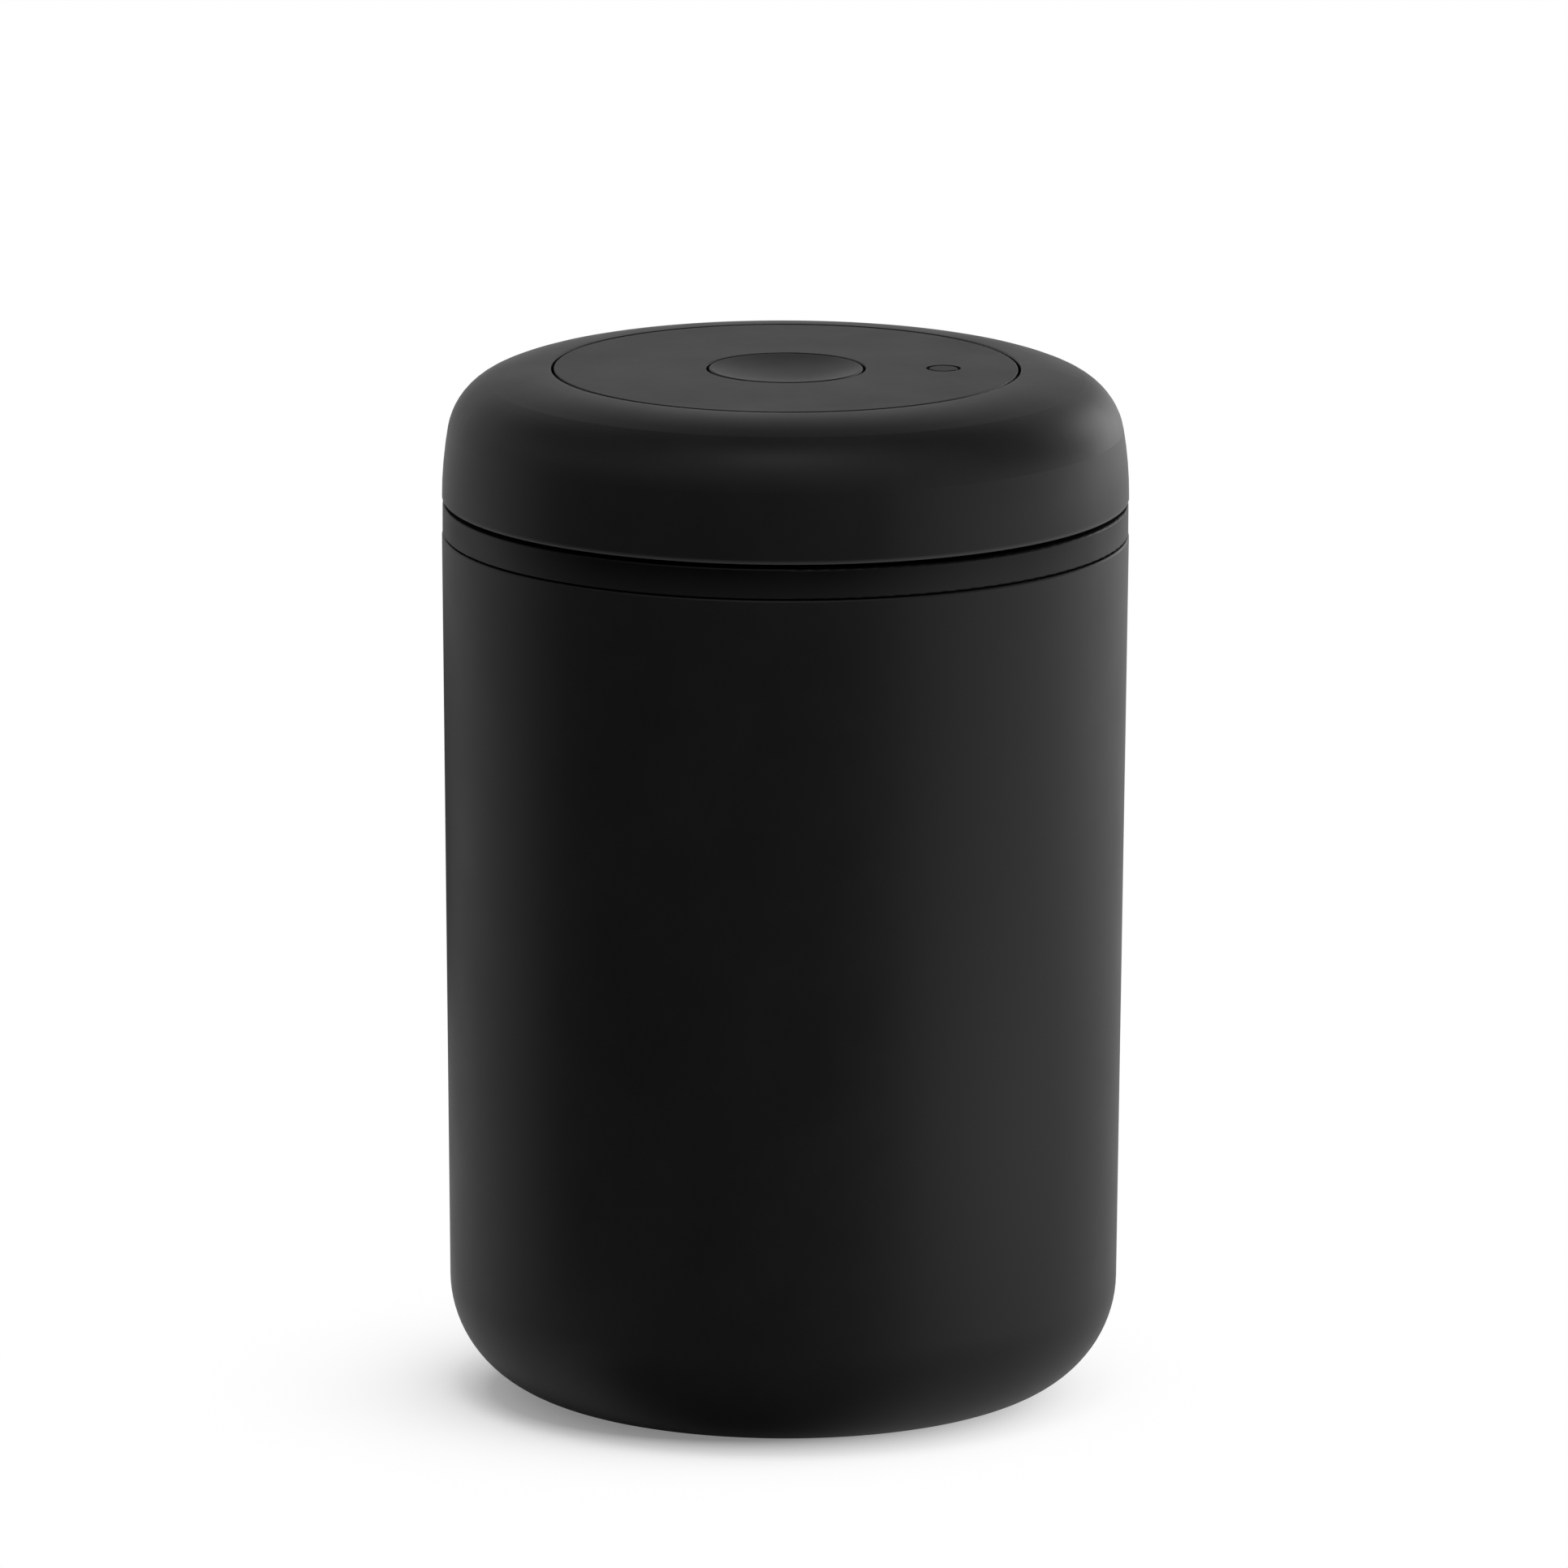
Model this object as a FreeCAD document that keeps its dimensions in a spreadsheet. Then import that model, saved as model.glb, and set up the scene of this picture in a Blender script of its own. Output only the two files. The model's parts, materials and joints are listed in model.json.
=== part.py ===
import FreeCAD, Part
import math
import os
from collections import namedtuple

import Sketcher

# Coffee canister with a twist-to-pump vacuum lid.
# Millimetres, +Z up, origin on the table under the centre of the base.
# Twisting the dome turns a cam drum, whose three helical slots lift an annular piston by its pins.

# Driving sizes, in millimetres, with angles in degrees.
DRIVING_SIZES = {
    # Steel body and its pad
    "lid_radius": 59.0,
    "body_height": 150.25,
    "body_wall": 0.8,
    "wall_draft": 0.57,
    "base_corner": 19.7,
    "pad_seat_radius": 33.0,
    "pad_recess": 1.5,
    "pad_proud": 0.4,
    "pad_fit": 0.3,
    "pad_chamfer": 0.3,
    # Outside of the lid
    "rim_gap": 0.25,
    "collar_height": 5.15,
    "collar_inset": 0.1,
    "collar_round": 0.3,
    "twist_gap": 0.8,
    "dome_height": 22.55,
    "dome_wall": 2.2,
    "dome_edge": 0.3,
    "dome_shoulder": 24.87,
    "shoulder_angle": 66.3,
    "dome_corner": 11.31,
    "corner_angle": 9.85,
    "plate_land": 1.1,
    "plate_gap": 0.48,
    "plate_thickness": 2.2,
    "edge_round": 0.25,
    # Plug of the lid and its gasket
    "floor_thickness": 2.5,
    "plug_gap": 1.0,
    "plug_chamfer": 0.8,
    "plug_lip": 2.2,
    "gasket_recess": 1.4,
    "gasket_wall": 1.2,
    "gasket_drop": 3.0,
    "gasket_fit": 0.05,
    "seal_gap": 0.15,
    "skirt_wall": 2.0,
    # Pump
    "stroke": 9.0,
    "twist_angle": 90.0,
    "bore_radius": 19.5,
    "cylinder_wall": 1.8,
    "piston_thickness": 6.0,
    "piston_gap": 0.3,
    "cup_wall": 1.8,
    "rest_gap": 1.2,
    "slot_margin": 0.6,
    "arm_thickness": 5.0,
    "arm_width": 6.0,
    "arm_gap": 0.4,
    "arm_reach_gap": 1.0,
    "pin_radius": 1.4,
    "pin_gap": 0.3,
    "pin_depth": 7.0,
    "pin_fit": 0.03,
    "ring_section": 0.9,
    "ring_inset": 1.75,
    "ring_gap": 0.1,
    "foot_ring_section": 0.5,
    # Cam drum and its bearing
    "drum_gap": 0.6,
    "drum_wall": 2.8,
    "flange_thickness": 2.2,
    "slot_roof": 0.8,
    "trap_gap": 0.3,
    "step_ledge": 1.5,
    "step_height": 2.4,
    "rib_height": 7.2,
    "rib_gap": 0.5,
    "rib_wall": 1.6,
    "glide_thickness": 1.6,
    "glide_side_gap": 0.2,
    "glide_gap": 0.1,
    "boss_radius": 3.0,
    "boss_root": 0.6,
    "boss_bury": 0.2,
    "flange_margin": 0.2,
    # Bridge frame, columns and screws
    "frame_thickness": 2.4,
    "frame_gap": 0.6,
    "column_gap": 0.7,
    "pillar_radius": 3.6,
    "screw_radius": 1.1,
    "screw_fit": 0.05,
    "screw_hole_gap": 0.25,
    "screw_head_radius": 2.3,
    "screw_head_height": 1.3,
    "screw_head_gap": 0.2,
    "screw_socket_radius": 0.9,
    "screw_socket_depth": 0.8,
    "frame_screw_length": 8.0,
    "drum_screw_grip": 2.4,
    "pilot_room": 0.3,
    # Check valves
    "valve_cap_radius": 3.4,
    "valve_cap_thickness": 0.9,
    "valve_lip": 0.35,
    "valve_stem_radius": 1.1,
    "valve_stem_gap": 0.1,
    "valve_bulb_radius": 1.6,
    "valve_bulb_length": 1.4,
    "port_radius": 0.65,
    "port_offset": 1.55,
    "valve_recess_gap": 0.5,
    "valve_recess_depth": 2.5,
    # Release button and poppet
    "button_radius": 13.2,
    "button_gap": 0.5,
    "button_travel": 2.5,
    "button_rim": 0.35,
    "dish_depth": 1.6,
    "button_skin": 1.8,
    "button_wall": 1.7,
    "button_catch": 1.25,
    "button_catch_height": 1.4,
    "stop_gap": 0.1,
    "button_boss_radius": 4.6,
    "boss_above_tube": 1.0,
    "stem_radius": 2.0,
    "stem_fit": 0.03,
    "stem_socket": 12.0,
    "stem_foot_radius": 3.4,
    "stem_foot_height": 1.2,
    "vent_gap": 1.2,
    "tube_bore": 5.5,
    "tube_wall": 2.2,
    "tube_shoulder": 4.0,
    "poppet_radius": 5.2,
    "poppet_thickness": 2.2,
    "poppet_round": 0.5,
    "button_spring_radius": 3.95,
    "button_wire_radius": 0.4,
    "spring_end_gap": 0.05,
    # Vacuum indicator
    "indicator_radius": 2.5,
    "indicator_gap": 0.5,
    "indicator_travel": 2.0,
    "indicator_collar": 0.9,
    "indicator_collar_height": 1.4,
    "indicator_foot_radius": 1.5,
    "chamber_room": 0.3,
    "chimney_radius": 5.0,
    "chimney_wall": 1.4,
    "chimney_depth": 7.2,
    "chimney_port": 1.2,
    "membrane_rim": 0.8,
    "membrane_web": 0.2,
    "membrane_fold": 0.9,
    "membrane_fit": 0.1,
    "indicator_spring_radius": 2.3,
    "indicator_wire_radius": 0.25,
    # Filter cap
    "clip_radius": 22.5,
    "clip_wall": 1.5,
    "clip_height": 3.0,
    "clip_gap": 0.25,
    "cap_wall": 1.6,
    "cap_floor": 1.5,
    "cap_top_gap": 0.3,
    "cap_round": 0.8,
    "cap_slot_width": 2.0,
    "cap_slot_inner": 7.0,
    "cap_slot_margin": 3.0,
    "mesh_thickness": 0.5,
    "mesh_fit": 0.25,
    "mesh_room": 0.7,
}

# Counts and fixed directions
ARM_COUNT = 3
BOSS_COUNT = 6
CAP_SLOT_COUNT = 12
GASKET_LIP_COUNT = 3
BUTTON_SPRING_TURNS = 6
INDICATOR_SPRING_TURNS = 5
ARM_ANGLE = 90.0
PILLAR_ANGLE = 30.0
FULL_TURN = 360.0

# Points measured along each quarter turn of a spring
QUARTER_SAMPLES = 8

# Where a gasket lip's edge starts and ends, as shares of the pitch from lip to lip
LIP_EDGE_START = 0.5
LIP_EDGE_END = 0.75

doc = FreeCAD.newDocument("coffee_canister")
sheet = doc.addObject("Spreadsheet::Sheet", "Sizes")
pieces = []


class Size:
    """A size with the formula that ties it to the sheet and the number it comes to now."""

    def __init__(self, formula, value):
        self.formula = formula
        self.value = value

    def joined(self, sign, other, value):
        return Size(f"({self.formula} {sign} {as_size(other).formula})", value)

    def __add__(self, other):
        return self.joined("+", other, self.value + as_size(other).value)

    def __sub__(self, other):
        return self.joined("-", other, self.value - as_size(other).value)

    def __mul__(self, other):
        return self.joined("*", other, self.value * as_size(other).value)

    def __truediv__(self, other):
        return self.joined("/", other, self.value / as_size(other).value)

    def __neg__(self):
        return Size(f"(0 - {self.formula})", -self.value)


def as_size(number):
    return number if isinstance(number, Size) else Size(repr(number), number)


def sine(angle):
    return Size(f"sin({angle.formula})", math.sin(math.radians(angle.value)))


def cosine(angle):
    return Size(f"cos({angle.formula})", math.cos(math.radians(angle.value)))


def tangent(angle):
    return Size(f"tan({angle.formula})", math.tan(math.radians(angle.value)))


def smaller(first, second):
    first, second = as_size(first), as_size(second)
    return Size(f"min({first.formula}; {second.formula})", min(first.value, second.value))


class SheetSizes:
    """The driving sizes by name, each one bound to its own cell of the sheet."""

    def __init__(self, numbers):
        for row, (name, number) in enumerate(numbers.items(), start=1):
            sheet.set(f"A{row}", name)
            sheet.set(f"B{row}", str(number))
            sheet.setAlias(f"B{row}", name)
            setattr(self, name, Size(f"Sizes.{name}", number))
        doc.recompute()


# An arc edge of an outline: it follows the corner before it, and bends left or right of the way it runs.
Arc = namedtuple("Arc", "radius left")


def bind(target, path, size):
    target.setExpression(path, as_size(size).formula)


def new_body(label):
    body = doc.addObject("PartDesign::Body", label)
    body.Label = label
    body.AllowCompound = True
    pieces.append(body)
    return body


def origin_part(body, role):
    return next(part for part in body.Origin.OriginFeatures if part.Role == role)


def sketch_on(body, name, role, level=None):
    """A sketch on one of the body's own planes, moved along the plane's normal by level."""
    sketch = body.newObject("Sketcher::SketchObject", name)
    sketch.AttachmentSupport = (origin_part(body, role), [""])
    sketch.MapMode = "FlatFace"
    if level is not None:
        bind(sketch, "AttachmentOffset.Base.z", level)
    return sketch


def pin_point(sketch, edge, end, x, y):
    """Fix a point of the sketch at x, y, each one a bound distance or, where it is 0, the axis itself."""
    for kind, size, axis in (("DistanceX", x, -2), ("DistanceY", y, -1)):
        if not isinstance(size, Size):
            sketch.addConstraint(Sketcher.Constraint("PointOnObject", edge, end, axis))
            continue
        index = sketch.addConstraint(Sketcher.Constraint(kind, -1, 1, edge, end, size.value))
        bind(sketch, f"Constraints[{index}]", size)


def pin_radius(sketch, edge, radius):
    index = sketch.addConstraint(Sketcher.Constraint("Radius", edge, radius.value))
    bind(sketch, f"Constraints[{index}]", radius)


def arc_between(start, end, arc):
    """The circle arc from start to end, drawn anticlockwise, as a sketch keeps it."""
    chord = end - start
    side = FreeCAD.Vector(-chord.y, chord.x, 0).normalize()
    height = math.sqrt(arc.radius.value ** 2 - chord.Length ** 2 / 4)
    centre = start + chord * 0.5 + side * (height if arc.left else -height)
    first, last = (start, end) if arc.left else (end, start)
    circle = Part.Circle(centre, FreeCAD.Vector(0, 0, 1), arc.radius.value)
    angles = [math.atan2(point.y - centre.y, point.x - centre.x) for point in (first, last)]
    return Part.ArcOfCircle(circle, angles[0], angles[1])


def draw_outline(sketch, steps):
    """A closed outline through corners (x, y), straight from one to the next unless an Arc stands between."""
    corners = [step for step in steps if not isinstance(step, Arc)]
    arcs = {}
    count = -1
    for step in steps:
        if isinstance(step, Arc):
            arcs[count] = step
        else:
            count += 1
    points = [FreeCAD.Vector(as_size(x).value, as_size(y).value, 0) for x, y in corners]
    first_edge = sketch.GeometryCount
    ends = []
    for index, start in enumerate(points):
        end = points[(index + 1) % len(points)]
        arc = arcs.get(index)
        edge = first_edge + index
        if arc is None:
            sketch.addGeometry(Part.LineSegment(start, end), False)
        else:
            sketch.addGeometry(arc_between(start, end, arc), False)
            pin_radius(sketch, edge, arc.radius)
        ends.append((edge, 1, 2) if arc is None or arc.left else (edge, 2, 1))
    for index, (edge, start_end, _) in enumerate(ends):
        before, _, last_end = ends[index - 1]
        sketch.addConstraint(Sketcher.Constraint("Coincident", before, last_end, edge, start_end))
        pin_point(sketch, edge, start_end, *corners[index])


def draw_circles(sketch, circles):
    for x, y, radius in circles:
        centre = FreeCAD.Vector(as_size(x).value, as_size(y).value, 0)
        edge = sketch.addGeometry(Part.Circle(centre, FreeCAD.Vector(0, 0, 1), radius.value), False)
        pin_point(sketch, edge, 3, x, y)
        pin_radius(sketch, edge, radius)


def revolve(body, name, steps, axis_offset=None):
    """Turn an outline of (radius, height) corners about the vertical axis, moved out by axis_offset."""
    sketch = sketch_on(body, f"{name}_section", "XZ_Plane")
    if axis_offset is not None:
        bind(sketch, "AttachmentOffset.Base.x", axis_offset)
    draw_outline(sketch, steps)
    turned = body.newObject("PartDesign::Revolution", name)
    turned.Profile = sketch
    turned.ReferenceAxis = (sketch, ["V_Axis"])
    turned.Angle = FULL_TURN
    return turned


def extrude(body, kind, name, sketch, length):
    """A Pad or a Pocket that runs up from its sketch by length."""
    feature = body.newObject(f"PartDesign::{kind}", name)
    feature.Profile = sketch
    feature.Reversed = kind == "Pocket"
    bind(feature, "Length", length)
    return feature


def columns(body, kind, name, circles, low, high):
    """Round posts (Pad) or round holes (Pocket) between two levels."""
    sketch = sketch_on(body, f"{name}_plan", "XY_Plane", low)
    draw_circles(sketch, circles)
    return extrude(body, kind, name, sketch, high - low)


def repeat_round(body, name, feature, count):
    pattern = body.newObject("PartDesign::PolarPattern", name)
    pattern.Originals = [feature]
    pattern.Axis = (origin_part(body, "Z_Axis"), [""])
    pattern.Angle = FULL_TURN
    pattern.Occurrences = count
    body.Tip = pattern
    return pattern


def at_angle(radius, angle):
    direction = as_size(angle)
    return radius * cosine(direction), radius * sine(direction)


def ring(label, centre_radius, section, level):
    torus = doc.addObject("Part::Torus", label)
    torus.Label = label
    bind(torus, "Radius1", centre_radius)
    bind(torus, "Radius2", section)
    bind(torus, "Placement.Base.z", level)
    pieces.append(torus)


def biarc(start, start_way, end, end_way):
    """Two arcs that join two points of a curve smoothly, each along its own direction."""
    step = end - start
    ways = start_way + end_way
    spread = 2 * (1 - start_way.dot(end_way))
    along = step.dot(ways)
    reach = (math.sqrt(along ** 2 + spread * step.dot(step)) - along) / spread
    knees = (start + start_way * reach, end - end_way * reach)
    joint = (knees[0] + knees[1]) * 0.5
    edges = []
    for first, knee, last in ((start, knees[0], joint), (joint, knees[1], end)):
        middle = (first + last) * 0.5
        half = (last - first).Length / 2
        turn = math.acos(half / reach)
        bulge = (knee - middle).normalize() * (half * math.tan(turn / 2))
        edges.append(Part.Arc(first, middle + bulge, last).toShape())
    return edges


def coil_spring(label, axis_x, low, high, coil_radius, wire_radius, turns):
    """A wound spring of round wire between two seats, as one unbroken tube on quarter-turn biarcs."""
    reach = coil_radius.value
    wire = wire_radius.value
    bottom = (low + wire_radius + s.spring_end_gap).value
    rise = ((high - wire_radius - s.spring_end_gap).value - bottom) / (turns * math.tau)

    def point(angle):
        return FreeCAD.Vector(reach * math.cos(angle), reach * math.sin(angle), bottom + rise * angle)

    def way(angle):
        return FreeCAD.Vector(-reach * math.sin(angle), reach * math.cos(angle), rise).normalize()

    quarter = math.pi / 2
    angles = [quarter * index for index in range(turns * 4 + 1)]
    edges = []
    for start, end in zip(angles, angles[1:]):
        edges += biarc(point(start), way(start), point(end), way(end))
    section = Part.Wire(Part.makeCircle(wire, point(0), way(0)))
    tube = Part.Wire(edges).makePipeShell([section], True, False)
    shares = [part / QUARTER_SAMPLES for part in range(QUARTER_SAMPLES)]
    samples = [point(angle + quarter * share) for angle in angles[:-1] for share in shares]
    half_turn = QUARTER_SAMPLES * 2
    apart = min((a - b).Length for i, a in enumerate(samples) for b in samples[i + half_turn:]) - 2 * wire
    print(f"{label}: least gap between turns {apart:.2f} mm")
    spring = doc.addObject("Part::Feature", label)
    spring.Label = label
    spring.Shape = tube
    spring.Placement = FreeCAD.Placement(FreeCAD.Vector(as_size(axis_x).value, 0, 0), FreeCAD.Rotation())
    pieces.append(spring)


s = SheetSizes(DRIVING_SIZES)

# Levels of the outside, from the table up
foot_level = s.pad_proud
rim_level = foot_level + s.body_height
collar_bottom = rim_level + s.rim_gap
collar_top = collar_bottom + s.collar_height
dome_bottom = collar_top + s.twist_gap
top_level = dome_bottom + s.dome_height

# Radii of the lid's mechanism, from the axis out
tube_outer = s.tube_bore + s.tube_wall
seat_bore = s.stem_radius + s.vent_gap
piston_inner = tube_outer + s.piston_gap
piston_outer = s.bore_radius - s.piston_gap
cup_inner = piston_outer - s.cup_wall
valve_circle = (piston_inner + cup_inner) / 2
cylinder_outer = s.bore_radius + s.cylinder_wall
column_circle = cylinder_outer + s.column_gap + s.chimney_radius
drum_inner = column_circle + s.chimney_radius + s.drum_gap
drum_outer = drum_inner + s.drum_wall
rib_inner = drum_outer + s.rib_gap
rib_outer = rib_inner + s.rib_wall
arm_reach = drum_inner - s.arm_reach_gap
button_hole = s.button_radius + s.button_gap
indicator_hole = s.indicator_radius + s.indicator_gap

# The dome's outer side, as three arcs from its foot up: side, corner and shoulder
# On a small lid the two rounds shrink alike, to leave the drum and its screw heads their room
side_foot = dome_bottom + s.dome_edge
side_rise = top_level - side_foot
side_lean = tangent(s.corner_angle / 2)
shoulder_rise = s.dome_shoulder * (as_size(1) - sine(s.shoulder_angle))
corner_rise = s.dome_corner * (sine(s.shoulder_angle) - sine(s.corner_angle))
corner_run = s.dome_corner * (cosine(s.corner_angle) - cosine(s.shoulder_angle))
shoulder_run = s.dome_shoulder * cosine(s.shoulder_angle)
head_reach = s.screw_head_radius + s.screw_head_gap + s.boss_root - s.boss_radius
round_room = s.lid_radius - drum_outer - head_reach - side_rise * side_lean
round_need = corner_run + shoulder_run - (corner_rise + shoulder_rise) * side_lean
round_share = smaller(1, round_room / round_need)
dome_corner = s.dome_corner * round_share
dome_shoulder = s.dome_shoulder * round_share
dome_side = (side_rise - (corner_rise + shoulder_rise) * round_share) / sine(s.corner_angle)
side_run = dome_side * (as_size(1) - cosine(s.corner_angle))
flat_radius = s.lid_radius - side_run - (corner_run + shoulder_run) * round_share
open_radius = flat_radius - s.plate_land
plate_radius = open_radius - s.plate_gap
frame_radius = open_radius - s.frame_gap
boss_circle = flat_radius + s.boss_radius - s.boss_root
flange_radius = boss_circle + s.boss_radius + s.flange_margin

# Levels of the mechanism, from the top plate down
plate_bottom = top_level - s.plate_thickness
frame_bottom = plate_bottom - s.frame_thickness
flange_top = frame_bottom - s.trap_gap
flange_bottom = flange_top - s.flange_thickness
lead = s.stroke / s.twist_angle
slot_half = s.pin_radius + s.pin_gap
slot_lead_in = slot_half / drum_inner * math.degrees(1)
pin_top_level = flange_bottom - s.slot_roof - slot_half - lead * slot_lead_in
pin_level = pin_top_level - s.stroke
arm_top = pin_level + s.arm_thickness / 2
arm_bottom = arm_top - s.arm_thickness
guide_bottom = arm_bottom - s.arm_gap
piston_top = guide_bottom - s.slot_margin - s.stroke
piston_bottom = piston_top - s.piston_thickness
floor_top = piston_bottom - s.rest_gap
floor_bottom = floor_top - s.floor_thickness
step_top = floor_top + s.step_height
glide_top = step_top + s.glide_thickness
drum_bottom = glide_top + s.glide_gap
tube_seat = floor_top + s.tube_shoulder
head_seat = plate_bottom - s.screw_head_height - s.screw_head_gap
pin_collar_top = frame_bottom - s.stop_gap
pin_collar_bottom = pin_collar_top - s.indicator_collar_height
membrane_top = pin_collar_bottom - s.indicator_travel - s.chamber_room
chimney_top = membrane_top - s.membrane_rim
chimney_seat = chimney_top - s.chimney_depth

# Inside of the steel wall, which narrows towards the base, and the plug that goes into it
draft_sine = sine(s.wall_draft)
draft_cosine = cosine(s.wall_draft)
rim_start = rim_level - s.body_wall / 2
wall_foot = s.lid_radius - (rim_start - foot_level) * tangent(s.wall_draft)
wall_inside = s.lid_radius - s.body_wall / draft_cosine - (rim_start - floor_bottom) * tangent(s.wall_draft)
plug_radius = wall_inside - s.plug_gap
recess_radius = plug_radius - s.gasket_recess
skirt_inner = recess_radius - s.skirt_wall
plug_lip_top = floor_bottom + s.plug_lip

# Poppet, filter mesh and filter cap, from the plug's floor down
poppet_top = floor_bottom - s.stop_gap
poppet_bottom = poppet_top - s.poppet_thickness
stem_bottom = poppet_bottom - s.stem_foot_height
mesh_top = stem_bottom - s.button_travel - s.mesh_room
mesh_bottom = mesh_top - s.mesh_thickness
cap_bottom = mesh_bottom - s.cap_floor
cap_inner = s.clip_radius + s.clip_gap
cap_outer = cap_inner + s.cap_wall


def build_canister_body():
    """Drawn steel shell of even wall: recessed base, large corner, slightly drafted side, rounded rim.

    The corner is as large as the flat round the pad's seat leaves room for.
    """
    wall = s.body_wall
    corner_room = wall_foot - s.pad_seat_radius - wall * 2
    corner = smaller(s.base_corner, corner_room * draft_cosine / (as_size(1) - draft_sine))
    corner_level = foot_level + corner
    corner_centre = s.lid_radius + ((corner_level - rim_start) * draft_sine - corner) / draft_cosine
    inner_corner = corner - wall
    rim_centre = s.lid_radius - wall / 2 * draft_cosine
    rim_centre_level = rim_start + wall / 2 * draft_sine
    body = new_body("canister_body")
    revolve(body, "shell", [
        (0, foot_level + s.pad_recess),
        (s.pad_seat_radius, foot_level + s.pad_recess),
        (s.pad_seat_radius, foot_level),
        (corner_centre, foot_level),
        Arc(corner, True),
        (corner_centre + corner * draft_cosine, corner_level - corner * draft_sine),
        (s.lid_radius, rim_start),
        Arc(wall / 2, True),
        (rim_centre + wall / 2 * draft_sine, rim_centre_level + wall / 2 * draft_cosine),
        Arc(wall / 2, True),
        (s.lid_radius - wall * draft_cosine, rim_start + wall * draft_sine),
        (corner_centre + inner_corner * draft_cosine, corner_level - inner_corner * draft_sine),
        Arc(inner_corner, False),
        (corner_centre, foot_level + wall),
        (s.pad_seat_radius + wall, foot_level + wall),
        (s.pad_seat_radius + wall, foot_level + s.pad_recess + wall),
        (0, foot_level + s.pad_recess + wall),
    ])


def build_base_pad():
    """Silicone disc glued into the recess of the base, standing a little proud of it."""
    radius = s.pad_seat_radius - s.pad_fit
    top = foot_level + s.pad_recess
    body = new_body("base_pad")
    revolve(body, "disc", [
        (0, 0),
        (radius - s.pad_chamfer, 0),
        (radius, s.pad_chamfer),
        (radius, top),
        (0, top),
    ])


def drill_valve_seat(body, bottom, top):
    """Stem hole and four ports of an umbrella valve, through the wall between two levels."""
    stem_hole = s.valve_stem_radius + s.valve_stem_gap
    ports = [
        (-valve_circle + side_x, side_y, s.port_radius)
        for side_x in (s.port_offset, -s.port_offset)
        for side_y in (s.port_offset, -s.port_offset)
    ]
    columns(body, "Pocket", "valve_ports", ports + [(-valve_circle, 0, stem_hole)], bottom, top)


def build_lid_base():
    """Moulded pan: collar, skirt with the gasket's recess, floor, bearing step, centre tube and columns."""
    rounding = s.collar_round
    collar_radius = s.lid_radius - s.collar_inset
    clip_inner = s.clip_radius - s.clip_wall
    rib_top = floor_top + s.rib_height
    ring_centre = s.bore_radius + s.cylinder_wall / 2
    ring_room = s.foot_ring_section + s.gasket_fit
    ring_floor = floor_top - ring_room * 2
    body = new_body("lid_base")
    revolve(body, "pan", [
        (seat_bore, floor_bottom),
        (clip_inner, floor_bottom),
        (clip_inner, floor_bottom - s.clip_height),
        (s.clip_radius, floor_bottom - s.clip_height),
        (s.clip_radius, floor_bottom),
        (plug_radius - s.plug_chamfer, floor_bottom),
        (plug_radius, floor_bottom + s.plug_chamfer),
        (plug_radius, plug_lip_top),
        (recess_radius, plug_lip_top),
        (recess_radius, collar_bottom),
        (collar_radius - rounding, collar_bottom),
        Arc(rounding, True),
        (collar_radius, collar_bottom + rounding),
        (collar_radius, collar_top - rounding),
        Arc(rounding, True),
        (collar_radius - rounding, collar_top),
        (skirt_inner, collar_top),
        (skirt_inner, floor_top),
        (rib_outer, floor_top),
        (rib_outer, rib_top),
        (rib_inner, rib_top),
        (rib_inner, step_top),
        (drum_inner - s.step_ledge, step_top),
        (drum_inner - s.step_ledge, floor_top),
        (ring_centre + ring_room, floor_top),
        (ring_centre + ring_room, ring_floor),
        (ring_centre - ring_room, ring_floor),
        (ring_centre - ring_room, floor_top),
        (tube_outer, floor_top),
        (tube_outer, guide_bottom),
        (s.tube_bore, guide_bottom),
        (s.tube_bore, tube_seat),
        (seat_bore, tube_seat),
    ])
    pillar_x, pillar_y = at_angle(column_circle, PILLAR_ANGLE)
    pillar = columns(body, "Pad", "pillar", [(pillar_x, pillar_y, s.pillar_radius)], floor_top, frame_bottom)
    repeat_round(body, "pillars", pillar, ARM_COUNT)
    columns(body, "Pad", "chimney", [(column_circle, 0, s.chimney_radius)], floor_top, chimney_top)
    pilot = s.screw_radius + s.screw_fit
    pilot_bottom = head_seat - s.frame_screw_length - s.pilot_room
    hole = columns(body, "Pocket", "pilot", [(pillar_x, pillar_y, pilot)], pilot_bottom, frame_bottom)
    repeat_round(body, "pilots", hole, ARM_COUNT)
    chamber = s.chimney_radius - s.chimney_wall
    columns(body, "Pocket", "chimney_chamber", [(column_circle, 0, chamber)], chimney_seat, chimney_top)
    columns(body, "Pocket", "chimney_bleed", [(column_circle, 0, s.chimney_port)], floor_bottom, chimney_seat)
    drill_valve_seat(body, floor_bottom, floor_top)


def build_lid_gasket():
    """Silicone band in the plug's recess, with three lips that reach for the steel wall."""
    inner = recess_radius + s.gasket_fit
    band = inner + s.gasket_wall
    low = plug_lip_top + s.gasket_fit
    high = collar_bottom - s.gasket_drop
    lip_reach = wall_inside - s.seal_gap
    pitch = (high - low) / GASKET_LIP_COUNT
    steps = [(inner, low)]
    for index in range(GASKET_LIP_COUNT):
        root = low + pitch * index
        steps += [
            (band, root),
            (lip_reach, root + pitch * LIP_EDGE_START),
            (lip_reach, root + pitch * LIP_EDGE_END),
            (band, root + pitch * LIP_EDGE_END),
        ]
    steps += [(band, high), (inner, high)]
    body = new_body("lid_gasket")
    revolve(body, "band", steps)


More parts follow.
